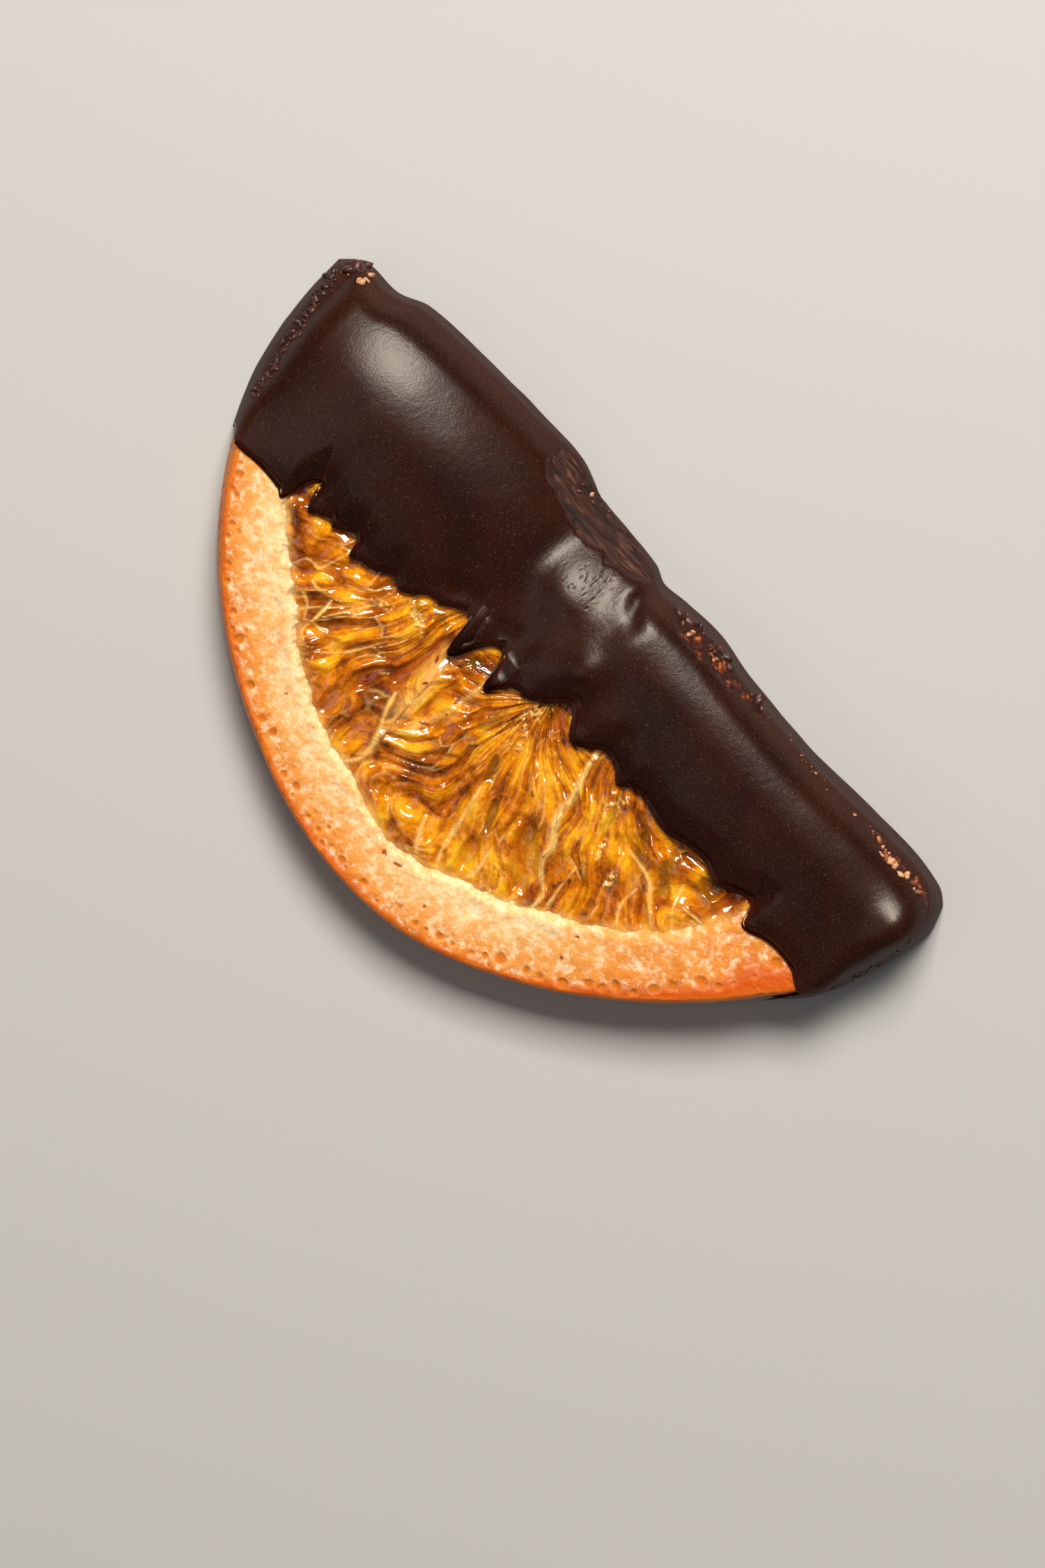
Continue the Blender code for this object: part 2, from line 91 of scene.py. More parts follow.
RIM_END_ROUND = 2.8  # and at their tips
TUCK_DOWN = 0.4  # inside the coat the slice is this share lower
TUCK_IN = 0.028  # and this share smaller, so that the coat can be rounder
FOOT_ROUND = 0.7
FACE_KEEP_IN = 0.28  # the shown face's edges stand this far in from the sides
STRAIGHT_SIDE = ((-36, -1.7), (-33.5, -1.1), (-30.5, -0.9), (-28, 0.3), (-22, 1.0), (-15, 1.35),
                 (-10.5, 1.4), (-7, 0.5), (-3.5, 0.35), (0, 0.2), (1.6, -0.35), (4, 0.0),
                 (8, 0.3), (12, -0.15), (20, -0.25), (27, 0.25), (32, 0.45), (35, 0.1), (38, -0.6))
TIP_ROUND = 2.6
DIP_LINE = ((-36, -17.7), (-29.5, -17.7), (-27, -17.5), (-25, -17.6), (-24.2, -17.9), (-23.8, -16.6),
            (-23.2, -14.7), (-22.6, -16.2), (-22.0, -17.0), (-21.2, -16.5), (-20.2, -16.0),
            (-19.8, -16.4), (-18.8, -15.7), (-17.7, -15.5), (-17.2, -16.9), (-16.2, -16.5),
            (-15.0, -16.2), (-13.6, -15.3), (-12.4, -15.7), (-11.6, -15.2), (-10.5, -14.2),
            (-9.2, -13.8), (-8.1, -13.1), (-7.4, -12.8), (-6.85, -13.4), (-6.5, -15.2), (-6.2, -16.1),
            (-5.8, -16.25), (-5.3, -15.6), (-4.8, -14.3), (-4.1, -13.1), (-3.3, -12.7), (-2.8, -13.5),
            (-2.4, -15.2), (-2.1, -15.85), (-1.6, -15.8), (-1.1, -15.0), (-0.3, -14.0), (0.9, -13.8),
            (2.3, -12.8), (3.3, -11.7), (4.2, -11.8), (5.2, -13.0), (6.2, -13.4), (7.3, -12.7),
            (8.3, -11.9), (9.8, -12.2), (10.9, -13.0),
            (11.8, -12.4), (13.2, -12.1), (14.6, -12.4), (16.5, -12.6), (18.4, -12.0), (20.2, -11.8),
            (22.3, -12.3), (24.4, -11.3), (25.3, -11.2), (25.9, -12.8), (26.8, -13.0), (28.2, -12.4),
            (30, -12.2), (33, -12.5), (38, -12.7))
# The same without its drips
DIP_LEVEL = ((-36, -17.7), (-29, -17.6), (-25, -17.4), (-22.8, -15.6), (-18, -15.5), (-14, -15.4),
             (-10, -14.0), (-7.6, -12.5), (-4, -13.0), (0.5, -13.3), (3.4, -11.9), (8, -12.0),
             (14, -12.1), (20, -11.9), (24.8, -11.5), (28, -12.1), (33, -12.4), (38, -12.6))
BACK_DIP_LINE = ((-36, -18.2), (-28, -17.2), (-20, -17.8), (-12, -16.6), (-4, -17.4), (4, -16.4),
                 (12, -17.0), (20, -16.0), (28, -15.4), (38, -15.2))
# Angles at which the dip line meets the rind, from the shown face down, and of the coat's two tips
LEVELS_DOWN = (0.0, 0.28, 0.56, 0.84, 1.0)
LEFT_MOUTH = (-149.4, -150.2, -150.8, -150.5, -149.6)
RIGHT_MOUTH = (-21.6, -25.0, -27.2, -27.0, -25.5)
LEFT_TIP = -175.6
RIGHT_TIP = -4.0
# The two crests of the shown chocolate: middle, and how fast it falls to -X, +X, -Y and +Y of it
TOP = 9.9
CRESTS = ((-23.0, -8.4, 0.02, 0.008, 0.008, 0.039), (23.0, -5.6, 0.0012, 0.0022, 0.010, 0.06))
BETWEEN_CRESTS = (-8.0, 2.0)
# Soft swells and dents on it: x, y, half length, half width, height
SWELLS = ((35.6, -3.2, 2.8, 2.6, 1.15), (2.5, -8.8, 1.6, 1.6, 0.55), (1.3, -4.2, 1.3, 3.0, -0.45),
          (-2.6, -10.9, 1.1, 1.5, -0.25), (12.0, -9.0, 3.0, 1.6, -0.12))
# The bead at the end of each of the two drips: x, y, half length, half width, height
BEADS = ((-5.6, -14.9, 0.8, 0.9, 0.42), (-1.6, -14.7, 0.9, 0.8, 0.36))
# Where it leans evenly: x, y, height over the table, half length, half width, slopes along X and Y,
# and how fast it bows along X and Y
LEANS = ((-3.2, -4.2, 7.95, 3.4, 3.8, 0.15, -0.4, 0.03, 0.035),)
# Small round dents: x, y, half length, half width, height
DENTS = ((4.0, -10.6, 0.9, 0.9, -0.25), (8.4, -9.8, 1.0, 1.0, -0.22), (-9.5, -12.0, 1.2, 1.2, -0.2),
         (25.0, -9.6, 0.9, 0.9, -0.15))
# The groove beside the broken place
GROOVE = ((2.1, 1.0), (1.2, -0.7), (0.9, -1.9), (1.9, -3.0), (3.2, -4.4))
GROOVE_DEPTH = 0.45
GROOVE_WIDTH = 0.8
# Where air has left tiny pores: x, y, half length, half width, how many
PORED = ((-2.7, -3.4, 1.68, 1.44, 1.0), (-28.2, -1.8, 1.92, 0.96, 0.45))
PORE_DEPTH = 0.06
# The rough place where the coat broke as it was lifted off
SCAR_FROM = -12.3
SCAR_TO = 0.9
SCAR_DEEP_Y = -2.0
SCAR_CURVE = 1.8
SCAR_DEPTH = 0.75
# The chipped edge of the right half, and its tip's
CHIPS = ((4.0, -0.5), (6.7, -0.6), (9.3, -0.35), (12.4, -0.5), (14.2, -0.5))
TIP_CHIPS = ((27.6, 0.0), (29.2, -0.2), (31.2, -0.1), (33.6, -0.2), (35.2, -0.4))
CHIP_DEPTH = 0.28
# The left tip is drawn out into a small nub
TIP_NUB = (-34.1, -1.4)
TIP_NUB_REACH = 1.1
TIP_NUB_HEIGHT = 1.1

# Crumbs: the line they lie on, how far they stray, how many, smallest and largest, coolest and warmest. The
# warm copper ones along the right half's edge are painted glints
CRUMBS = (
    (((-34.3, -1.9), (-34.0, -1.0), (-33.4, -0.5)), 0.35, 9, 0.5, 0.8, 0.0, 0.25),
    (((-34.4, -2.0), (-33.9, -1.2), (-32.9, -0.7)), 0.55, 34, 0.14, 0.36, 0.0, 0.75),
    (((-33.2, -2.0), (-32.7, -1.6)), 0.3, 10, 0.12, 0.3, 0.6, 1.0),
    (((-34.9, -2.6), (-34.2, -6.0), (-33.2, -9.5), (-31.6, -14.6)), 0.7, 110, 0.1, 0.36, 0.0, 0.22),
    (((4.0, 0.1), (6.7, 0.2), (10.0, 0.1), (14.0, -0.1)), 0.5, 30, 0.2, 0.55, 0.0, 0.3),
    # The next three: copper slivers and tiny bright crumbs along the right half's edge, painted glints
    (((4.3, -0.4), (7.6, -0.6), (8.8, -0.3)), 0.25, 9, 0.16, 0.42, 0.3, 0.8),
    (((14.0, -0.2), (21.0, -0.4), (28.0, -0.1)), 0.25, 22, 0.06, 0.16, 0.3, 0.9),
    (((28.0, -0.2), (29.6, -0.5), (31.4, -0.4), (33.6, -0.4)), 0.28, 34, 0.12, 0.34, 0.35, 1.0),
    (((35.9, -2.0), (36.1, -6.0), (35.6, -9.0), (34.6, -12.0)), 0.35, 40, 0.08, 0.24, 0.05, 0.5),
    (((-10.4, 0.7), (-8.0, 0.1), (-5.2, 0.5)), 0.4, 9, 0.1, 0.28, 0.2, 0.8),
)

# The flesh: where the juice sacs of each segment fan out from, and how many lie in a radian
FANS = (((-6.5, -10.0), 12.0), ((2.4, -12.5), 11.0), ((6.0, -6.5), 14.0))
FAN_REACH = 12.0
SAC_LENGTH = 3.4
FLESH_SINK = 0.5
# The two walls between the segments: place along X for each Y
MIDDLE_WALL = ((-32, -6.5), (-29, -6.0), (-27.2, -4.3), (-25, -4.4), (-22, -4.9), (-18, -5.2),
               (-15.5, -5.6), (-12, -5.5), (0, -2.0))
RIGHT_WALL = ((-30, 15.5), (-25.4, 14.3), (-23.8, 13.8), (-22.9, 12.6), (-21.7, 11.5), (-20.4, 11.3),
              (-19.2, 10.3), (-17.7, 9.4), (-16.5, 9.5), (-15, 8.8), (-12.5, 8.0), (-8, 5.0), (0, 1.0))
# Pale walls and threads in the flesh: half width, height, how pale, and the points they run through
WALLS = (
    (0.26, 0.55, 1.0, ((7.6, -11.5), (8.2, -13.4), (8.8, -15.0), (9.5, -16.5), (9.4, -17.7), (10.3, -19.2),
                       (11.3, -20.4), (11.6, -21.7), (12.6, -22.9), (13.8, -23.8), (14.1, -26.0))),
    (0.75, 0.35, 0.5, ((-6.2, -16.4), (-5.6, -18.0), (-5.1, -20.0), (-4.9, -22.0), (-4.7, -24.6))),
    (0.26, 0.45, 0.75, ((-6.4, -21.8), (-5.7, -23.6), (-4.8, -25.2), (-4.3, -26.6), (-4.4, -28.0),
                       (-5.6, -29.4))),
    (0.34, 0.40, 0.5, ((-2.2, -15.6), (-2.3, -18.0), (-2.6, -20.2), (-3.4, -22.6), (-4.2, -25.0))),
    (0.12, 0.30, 0.9, ((-19.9, -21.5), (-19.3, -19.8), (-18.1, -19.6), (-17.7, -18.4), (-17.3, -16.8))),
    (0.13, 0.28, 0.8, ((-15.4, -20.6), (-15.2, -22.4), (-15.3, -24.0), (-14.6, -24.5))),
    (0.10, 0.25, 0.7, ((-17.7, -20.6), (-16.9, -20.7), (-16.3, -20.3))),
    (0.18, 0.35, 0.7, ((15.6, -15.9), (18.6, -16.4), (20.4, -18.0), (22.3, -19.3))),
    (0.14, 0.32, 0.7, ((20.7, -14.4), (21.4, -16.2), (22.9, -17.9))),
    (0.16, 0.32, 0.7, ((18.4, -17.6), (18.6, -19.5), (19.6, -20.9))),
    (0.12, 0.30, 0.6, ((25.4, -12.0), (25.2, -14.2), (24.6, -15.3), (22.0, -15.7))),
    (0.22, 0.35, 0.75, ((3.9, -21.6), (4.6, -24.0), (5.5, -27.2), (6.4, -29.0))),
    (0.22, 0.32, 0.7, ((2.8, -26.8), (3.7, -28.5), (5.4, -30.4))),
    (0.16, 0.32, 0.7, ((8.2, -24.2), (8.8, -26.6), (8.5, -28.0))),
    (0.12, 0.28, 0.6, ((13.9, -20.2), (14.3, -22.5), (15.1, -25.4))),
    (0.10, 0.25, 0.5, ((17.4, -21.0), (17.8, -22.8))),
    (0.10, 0.25, 0.5, ((-12.2, -16.8), (-13.6, -19.6), (-14.9, -22.0))),
    (0.10, 0.25, 0.5, ((-10.0, -19.4), (-11.4, -22.4), (-13.3, -24.6))),
)
# Smooth hollows where a sac has come away: x, y, half length, half width, direction, depth, and how dark
# they are painted with shade
POCKETS = (
    (10.6, -23.0, 4.6, 1.45, -50, 0.75, 0.55), (-7.0, -18.6, 4.6, 0.9, 85, 0.85, 0.8),
    (-6.3, -26.0, 2.6, 1.7, 75, 0.6, 0.35), (-3.7, -19.2, 3.6, 0.55, 88, 0.7, 0.35),
    (-9.4, -26.2, 1.9, 1.0, 95, 0.4, 0.3), (20.2, -16.5, 1.5, 0.8, -65, 0.7, 0.6),
    (20.4, -18.8, 2.1, 0.75, -42, 0.6, 0.45), (24.3, -13.1, 2.2, 1.0, 90, 0.8, 0.9),
    (22.3, -12.9, 1.2, 0.9, 0, 0.7, 1.0), (23.6, -16.2, 1.4, 0.8, -55, 0.5, 0.6),
    (19.6, -21.5, 0.5, 0.3, 50, 0.5, 0.6), (17.5, -23.0, 1.2, 0.8, -60, 0.4, 0.3),
    (15.8, -24.7, 1.4, 0.75, -30, 0.45, 0.2), (12.9, -21.2, 1.6, 0.8, -70, 0.4, 0.3),
    (6.2, -28.5, 1.5, 0.7, -55, 0.5, 0.35), (4.7, -30.2, 0.9, 0.38, -25, 0.6, 0.6),
    (2.0, -29.9, 1.6, 0.75, 0, 0.35, 0.15), (7.3, -26.2, 2.0, 0.9, -75, 0.5, 0.4),
    (3.0, -23.6, 2.4, 1.1, -75, 0.45, 0.3), (1.0, -26.6, 1.6, 0.9, -60, 0.4, 0.35),
    (-18.4, -20.6, 0.9, 0.65, 60, 0.5, 0.35), (-18.9, -18.2, 1.6, 0.9, 80, 0.4, 0.35),
    (-13.1, -26.1, 0.8, 0.45, 10, 0.5, 0.3), (-11.0, -26.9, 0.9, 0.8, 80, 0.4, 0.2),
    (-12.9, -23.3, 1.5, 0.8, 60, 0.4, 0.25), (-9.0, -22.8, 2.2, 0.8, 75, 0.5, 0.6),
    (-23.3, -16.4, 1.4, 0.7, 100, 0.35, 0.4), (3.4, -20.0, 1.4, 0.45, -65, 0.35, 0.7),
    (6.2, -22.6, 1.7, 0.45, -60, 0.4, 0.75), (-0.6, -18.0, 1.6, 0.5, 80, 0.4, 0.55),
    (3.9, -13.0, 1.8, 0.9, -60, 0.6, 0.8), (16.0, -14.4, 1.5, 0.4, -40, 0.4, 0.6),
    (-0.2, -22.6, 1.7, 0.5, 50, 0.35, 0.5), (-1.3, -28.0, 1.4, 0.8, 20, 0.3, 0.1),
)
# Small reddish brown flecks of dried wall: x, y, half length, half width, direction
FLECKS = ((-6.2, -17.3, 0.5, 0.10, -65), (-5.4, -19.2, 0.26, 0.12, 60), (-2.6, -18.4, 0.36, 0.10, 80),
          (-3.0, -21.6, 0.5, 0.12, 30), (-2.4, -19.7, 0.12, 0.08, 0), (-2.9, -22.1, 0.25, 0.08, 60),
          (7.0, -18.7, 0.3, 0.10, -40), (-9.0, -22.6, 0.35, 0.12, 80), (-1.7, -18.2, 0.1, 0.08, 0))
# Where the flesh is browned and olive: x, y, half length, half width, direction
OLIVE_SPOTS = ((-11.0, -15.4, 2.6, 0.6, -24), (-8.6, -14.6, 1.6, 0.5, -20), (3.5, -20.0, 1.5, 0.45, -65),
               (6.1, -22.4, 1.8, 0.5, -62), (0.4, -17.4, 1.8, 0.6, 70), (15.8, -14.6, 2.4, 0.6, -50),
               (19.0, -14.8, 2.6, 0.6, -62), (22.4, -13.4, 1.8, 0.9, -20), (12.6, -15.0, 1.8, 0.5, -62),
               (-4.0, -15.2, 1.0, 0.5, 70), (9.4, -21.0, 2.2, 0.5, -75))
# Where the core has torn into whitish crumbs, and at the first spot whitish grains that are painted glints
TORN_AND_GLINT_SPOTS = ((2.3, -14.5, 1.5, 0.8, -75), (3.2, -16.4, 1.5, 0.5, -70), (12.2, -14.2, 0.5, 1.0, -30),
              (-9.6, -16.4, 1.4, 0.5, -20), (-12.4, -17.6, 1.2, 0.5, 15), (16.4, -18.6, 1.2, 0.35, -75),
              (6.4, -17.6, 1.4, 0.3, -65), (14.0, -17.4, 1.4, 0.3, -70), (10.6, -27.6, 1.2, 0.4, 60))
# Dried orange specks in the pith
PITH_SPECKS = ((4.2, -31.2, 0.35, 0.16, 20), (8.2, -31.9, 0.18, 0.12, 60), (18.7, -26.1, 0.3, 0.14, -30),
               (2.7, -31.4, 0.3, 0.22, 0), (-12.3, -28.7, 0.2, 0.12, 50), (18.2, -23.9, 0.2, 0.1, 40))
# The larger oil glands cut open in the rind: x, y, radius
GLANDS = ((-27.9, -19.2, 0.34), (-27.5, -20.5, 0.34), (-26.8, -20.6, 0.3), (-25.4, -22.4, 0.4),
          (-24.9, -23.4, 0.27), (-23.2, -24.9, 0.3), (-22.2, -25.9, 0.3), (-20.1, -27.3, 0.36),
          (-18.1, -28.4, 0.5), (-17.5, -29.3, 0.3), (-19.1, -28.4, 0.2), (-14.8, -30.4, 0.46),
          (-12.0, -31.6, 0.5), (-10.6, -31.7, 0.5), (-12.8, -31.8, 0.13), (-11.5, -32.3, 0.13),
          (-7.5, -33.3, 0.4), (-6.1, -33.3, 0.4), (-5.8, -34.0, 0.2), (-3.6, -34.2, 0.28),
          (-2.2, -34.3, 0.26), (-1.8, -33.5, 0.26), (-1.2, -34.8, 0.32), (0.9, -34.5, 0.42),
          (3.4, -34.4, 0.4), (5.3, -34.6, 0.22), (6.9, -33.5, 0.4), (8.8, -33.4, 0.3), (9.7, -33.1, 0.2),
          (10.8, -32.7, 0.42), (12.0, -32.3, 0.25), (13.6, -31.5, 0.26), (14.5, -30.9, 0.36),
          (15.6, -30.0, 0.55), (15.3, -31.2, 0.18), (17.6, -29.1, 0.48), (18.7, -28.6, 0.5),
          (20.4, -27.5, 0.55), (21.6, -25.9, 0.5), (22.7, -25.2, 0.38), (23.2, -24.2, 0.52),
          (24.6, -23.4, 0.34), (25.4, -22.0, 0.48), (26.3, -20.6, 0.55), (27.5, -18.6, 0.62),
          (28.7, -17.8, 0.34), (29.3, -16.7, 0.24), (30.3, -12.9, 0.6), (30.0, -15.0, 0.3))

# How finely the pieces are divided along the slice
FLESH_COLUMNS = 530
RIND_COLUMNS = 620
COAT_COLUMNS = 560
RIND_UNDER_FLESH = 0.9
FLESH_HIGHEST = 0.14  # against the pith
FLESH_UNDER_COAT = 0.48  # it ducks this much more under the dip line
NEAR_DIP = 6.0  # further than this from the dip line, the coat has nothing of its edge
FAR_FROM_DIP = 15.0
BACK_SHARE = 0.6  # relief of the back, pressed flatter than the shown face
MASK = 0xFFFFFFFF


def ramp(low, high, x):
    """0 below low, 1 above high, and a smooth rise between."""
    t = np.clip((x - low) / (high - low), 0.0, 1.0)
    return t * t * (3.0 - 2.0 * t)


def along(table, x):
    """Smooth curve through (place, value) pairs."""
    x = np.asarray(x, float)
    places = np.array([pair[0] for pair in table], float)
    values = np.array([pair[1] for pair in table], float)
    last = len(table) - 1
    k = np.clip(np.searchsorted(places, x, side="left") - 1, 0, last - 1)
    before = np.maximum(k - 1, 0)
    after = np.minimum(k + 2, last)
    step = places[k + 1] - places[k]
    slope_in = (values[k + 1] - values[before]) / (places[k + 1] - places[before]) * step
    slope_out = (values[after] - values[k]) / (places[after] - places[k]) * step
    t = np.clip((x - places[k]) / step, 0.0, 1.0)
    return ((2 * t**3 - 3 * t**2 + 1) * values[k] + (t**3 - 2 * t**2 + t) * slope_in
            + (3 * t**2 - 2 * t**3) * values[k + 1] + (t**3 - t**2) * slope_out)


def hump(x, middle, half_width):
    """1 at the middle, about a third at the half width on each side, and soon 0."""
    return np.exp(-((x - middle) / half_width) ** 2)


def between(low, high, soft, x):
    """1 from low to high, with a soft edge of that half width at each end."""
    return ramp(low - soft, low + soft, x) * (1.0 - ramp(high - soft, high + soft, x))


def humps(x, y, places):
    """Soft swells and dents added up: x, y, half length, half width, height of each."""
    return sum(height * hump(x, px, length) * hump(y, py, width)
               for px, py, length, width, height in places)


def scatter(i, j, k, seed):
    """Repeatable numbers from 0 to 1 at whole-number places."""
    mixed = (i * 374761393 + j * 668265263 + k * 1440662683 + seed * 974634777) & MASK
    mixed = ((mixed ^ (mixed >> 13)) * 1274126177) & MASK
    mixed = ((mixed ^ (mixed >> 16)) * 1103515245) & MASK
    return (mixed ^ (mixed >> 15)) / MASK


def soft_noise(x, y, z=0.0, seed=1):
    """Smooth noise from -1 to 1, one swell to a unit."""
    x, y, z = np.broadcast_arrays(np.asarray(x, float), np.asarray(y, float), np.asarray(z, float))
    whole = [np.floor(v).astype(np.int64) for v in (x, y, z)]
    share = [v - w for v, w in zip((x, y, z), whole)]
    share = [t * t * t * (t * (t * 6 - 15) + 10) for t in share]
    total = np.zeros(x.shape)
    for a in (0, 1):
        for b in (0, 1):
            for c in (0, 1):
                weight = ((share[0] if a else 1 - share[0]) * (share[1] if b else 1 - share[1])
                          * (share[2] if c else 1 - share[2]))
                total += weight * scatter(whole[0] + a, whole[1] + b, whole[2] + c, seed)
    return 2.0 * total - 1.0


def layered_noise(x, y, z=0.0, seed=1, layers=3, falloff=0.5):
    """Smooth noise with finer and weaker layers on it."""
    total = 0.0
    size = 1.0
    most = 0.0
    for k in range(layers):
        total = total + size * soft_noise(x * 2**k + 7.3 * k, y * 2**k - 3.1 * k, z, seed + k)
        most += size
        size *= falloff
    return total / most


def cells(u, v, seed, jitter=0.85):
    """One scattered point per square: distance to the nearest and the next, the nearest's number, and
    how far along the first direction the place lies from it."""
    iu = np.floor(u).astype(np.int64)
    iv = np.floor(v).astype(np.int64)
    nearest = np.full(u.shape, 9.0)
    second = np.full(u.shape, 9.0)
    number = np.zeros(u.shape)
    side = np.zeros(u.shape)
    for a in (-1, 0, 1):
        for b in (-1, 0, 1):
            pu = iu + a + 0.5 + jitter * (scatter(iu + a, iv + b, 0, seed) - 0.5)
            pv = iv + b + 0.5 + jitter * (scatter(iu + a, iv + b, 1, seed) - 0.5)
            far = np.hypot(u - pu, v - pv)
            closer = far < nearest
            second = np.where(closer, nearest, np.minimum(second, far))
            number = np.where(closer, scatter(iu + a, iv + b, 2, seed), number)
            side = np.where(closer, u - pu, side)
            nearest = np.where(closer, far, nearest)
    return nearest, second, number, side


def polar(angle, radius):
    """Flat points at angles and radii about the round's middle."""
    turn = np.radians(angle)
    return np.stack(np.broadcast_arrays(np.cos(turn) * radius, np.sin(turn) * radius), axis=-1)


def rind_radius(angle, height):
    """Radius of the rind's outside at an angle, at a height over the slice's back."""
    middle = RIM_RADIUS + RIM_OVAL * np.cos(2 * np.radians(angle - RIM_OVAL_AT))
    middle = middle + along(RIM_SWELLS, angle)
    off = OFF_MIDDLE + height - SLICE_THICK / 2
    return np.sqrt(middle**2 + OFF_MIDDLE**2 - off**2)


def sag(y):
    """How far the bare half has sagged on to the table."""
    return LIFT * (1.0 - ramp(SAG_TO, SAG_FROM, y))


def cut_line(x):
    """The slice's straight cut, inside the chocolate, which bends a little where flesh meets pith."""
    away = np.abs(x)
    edge = FLESH_RADIUS[0][1]
    edge_y = TIP_Y * edge / RIM_RADIUS
    return np.where(away > edge, TIP_Y * away / RIM_RADIUS, CUT_Y + (edge_y - CUT_Y) * away / edge)


def smooth_most(first, second, blend):
    """The higher of two heights, run together over a blend."""
    gap = first - second
    return 0.5 * (first + second + np.sqrt(gap * gap + blend * blend))


def inside_coat(x, y):
    """0 at the dip line, 1 well inside the chocolate."""
    return ramp(0.3, 2.8, y - along(DIP_LEVEL, x))


def tuck(points):
    """Draw in what the chocolate hides, so that the coat over it can be round."""
    inside = inside_coat(points[..., 0], points[..., 1])
    out = points.copy()
    out[..., 0] *= 1.0 - TUCK_IN * inside
    out[..., 1] *= 1.0 - TUCK_IN * inside
    out[..., 2] = LIFT + (points[..., 2] - LIFT) * (1.0 - TUCK_DOWN * inside)
    return out


def tip_angle(side, y):
    """Angle at which the rind's outside is at the height y on the left or right."""
    start = -180.0 if side < 0 else 0.0
    lean = math.degrees(math.asin(-y / float(rind_radius(start, SLICE_THICK / 2))))
    return start - side * lean


def to_line(x, y, points):
    """Distance from places to a line of straight pieces, and how far along it they are, 0 to 1."""
    nearest = np.full(x.shape, 99.0)
    share = np.zeros(x.shape)
    count = len(points) - 1
    for k in range(count):
        ax, ay = points[k]
        bx, by = points[k + 1]
        length = (bx - ax) ** 2 + (by - ay) ** 2
        t = np.clip(((x - ax) * (bx - ax) + (y - ay) * (by - ay)) / length, 0.0, 1.0)
        far = np.hypot(x - ax - t * (bx - ax), y - ay - t * (by - ay))
        closer = far < nearest
        nearest = np.where(closer, far, nearest)
        share = np.where(closer, (k + t) / count, share)
    return nearest, share


def eased(points):
    """The same line of points, rounded at its bends."""
    steps = np.linspace(0, len(points) - 1, 4 * len(points) - 3)
    return list(zip(*[along(tuple(enumerate(values)), steps) for values in zip(*points)]))


def oval(x, y, place):
    """1 on the edge of a long oval, less inside it: x, y, half length, half width, direction."""
    px, py, length, width, direction = place
    turn = math.radians(direction)
    lengthways = (x - px) * math.cos(turn) + (y - py) * math.sin(turn)
    across = -(x - px) * math.sin(turn) + (y - py) * math.cos(turn)
    return np.hypot(lengthways / length, across / width)


def spots(x, y, places, stray, low, high):
    """1 inside ragged long ovals and 0 outside them, with a soft edge from low to high of their size."""
    return np.max([1.0 - ramp(low, high, oval(x, y, place) + stray) for place in places], axis=0)


def make_piece(name, points, faces, masks, material):
    """A smooth mesh object from points in millimetres, with its masks, in the model's frame."""
    data = bpy.data.meshes.new(name)
    points = np.array(points)
    points[:, 2] = np.maximum(points[:, 2], 0.0)
    placed = (points + np.array(ROUND_MIDDLE)) * MM
    data.from_pydata(placed.tolist(), [], faces)
    mesh = bmesh.new()
    mesh.from_mesh(data)
    bmesh.ops.recalc_face_normals(mesh, faces=mesh.faces[:])
    mesh.to_mesh(data)
    mesh.free()
    data.polygons.foreach_set("use_smooth", [True] * len(data.polygons))
    for mask, values in masks.items():
        layer = data.attributes.new(mask, "FLOAT", "POINT")
        layer.data.foreach_set("value", np.ascontiguousarray(values, dtype=np.float32).ravel())
    data.materials.append(material)
    data.update()
    piece = bpy.data.objects.new(name, data)
    bpy.context.scene.collection.objects.link(piece)
    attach(piece, "root")
    return piece


def grid_faces(rows, columns):
    """Faces between neighbouring rows of a grid numbered row by row."""
    first = np.arange(rows - 1)[:, None] * columns + np.arange(columns - 1)[None, :]
    corners = np.stack([first, first + 1, first + columns + 1, first + columns], axis=-1)
    return corners.reshape(-1, 4).tolist()


def slice_angles(dense):
    """Angles of the slice's columns: dense where the slice is bare, wide apart in the chocolate."""
    left = tip_angle(-1, TIP_Y)
    right = tip_angle(1, TIP_Y)
    return np.concatenate([np.linspace(left, -152.0, 16)[:-1], np.linspace(-152.0, -20.0, dense),
                           np.linspace(-20.0, right, 12)[1:]])


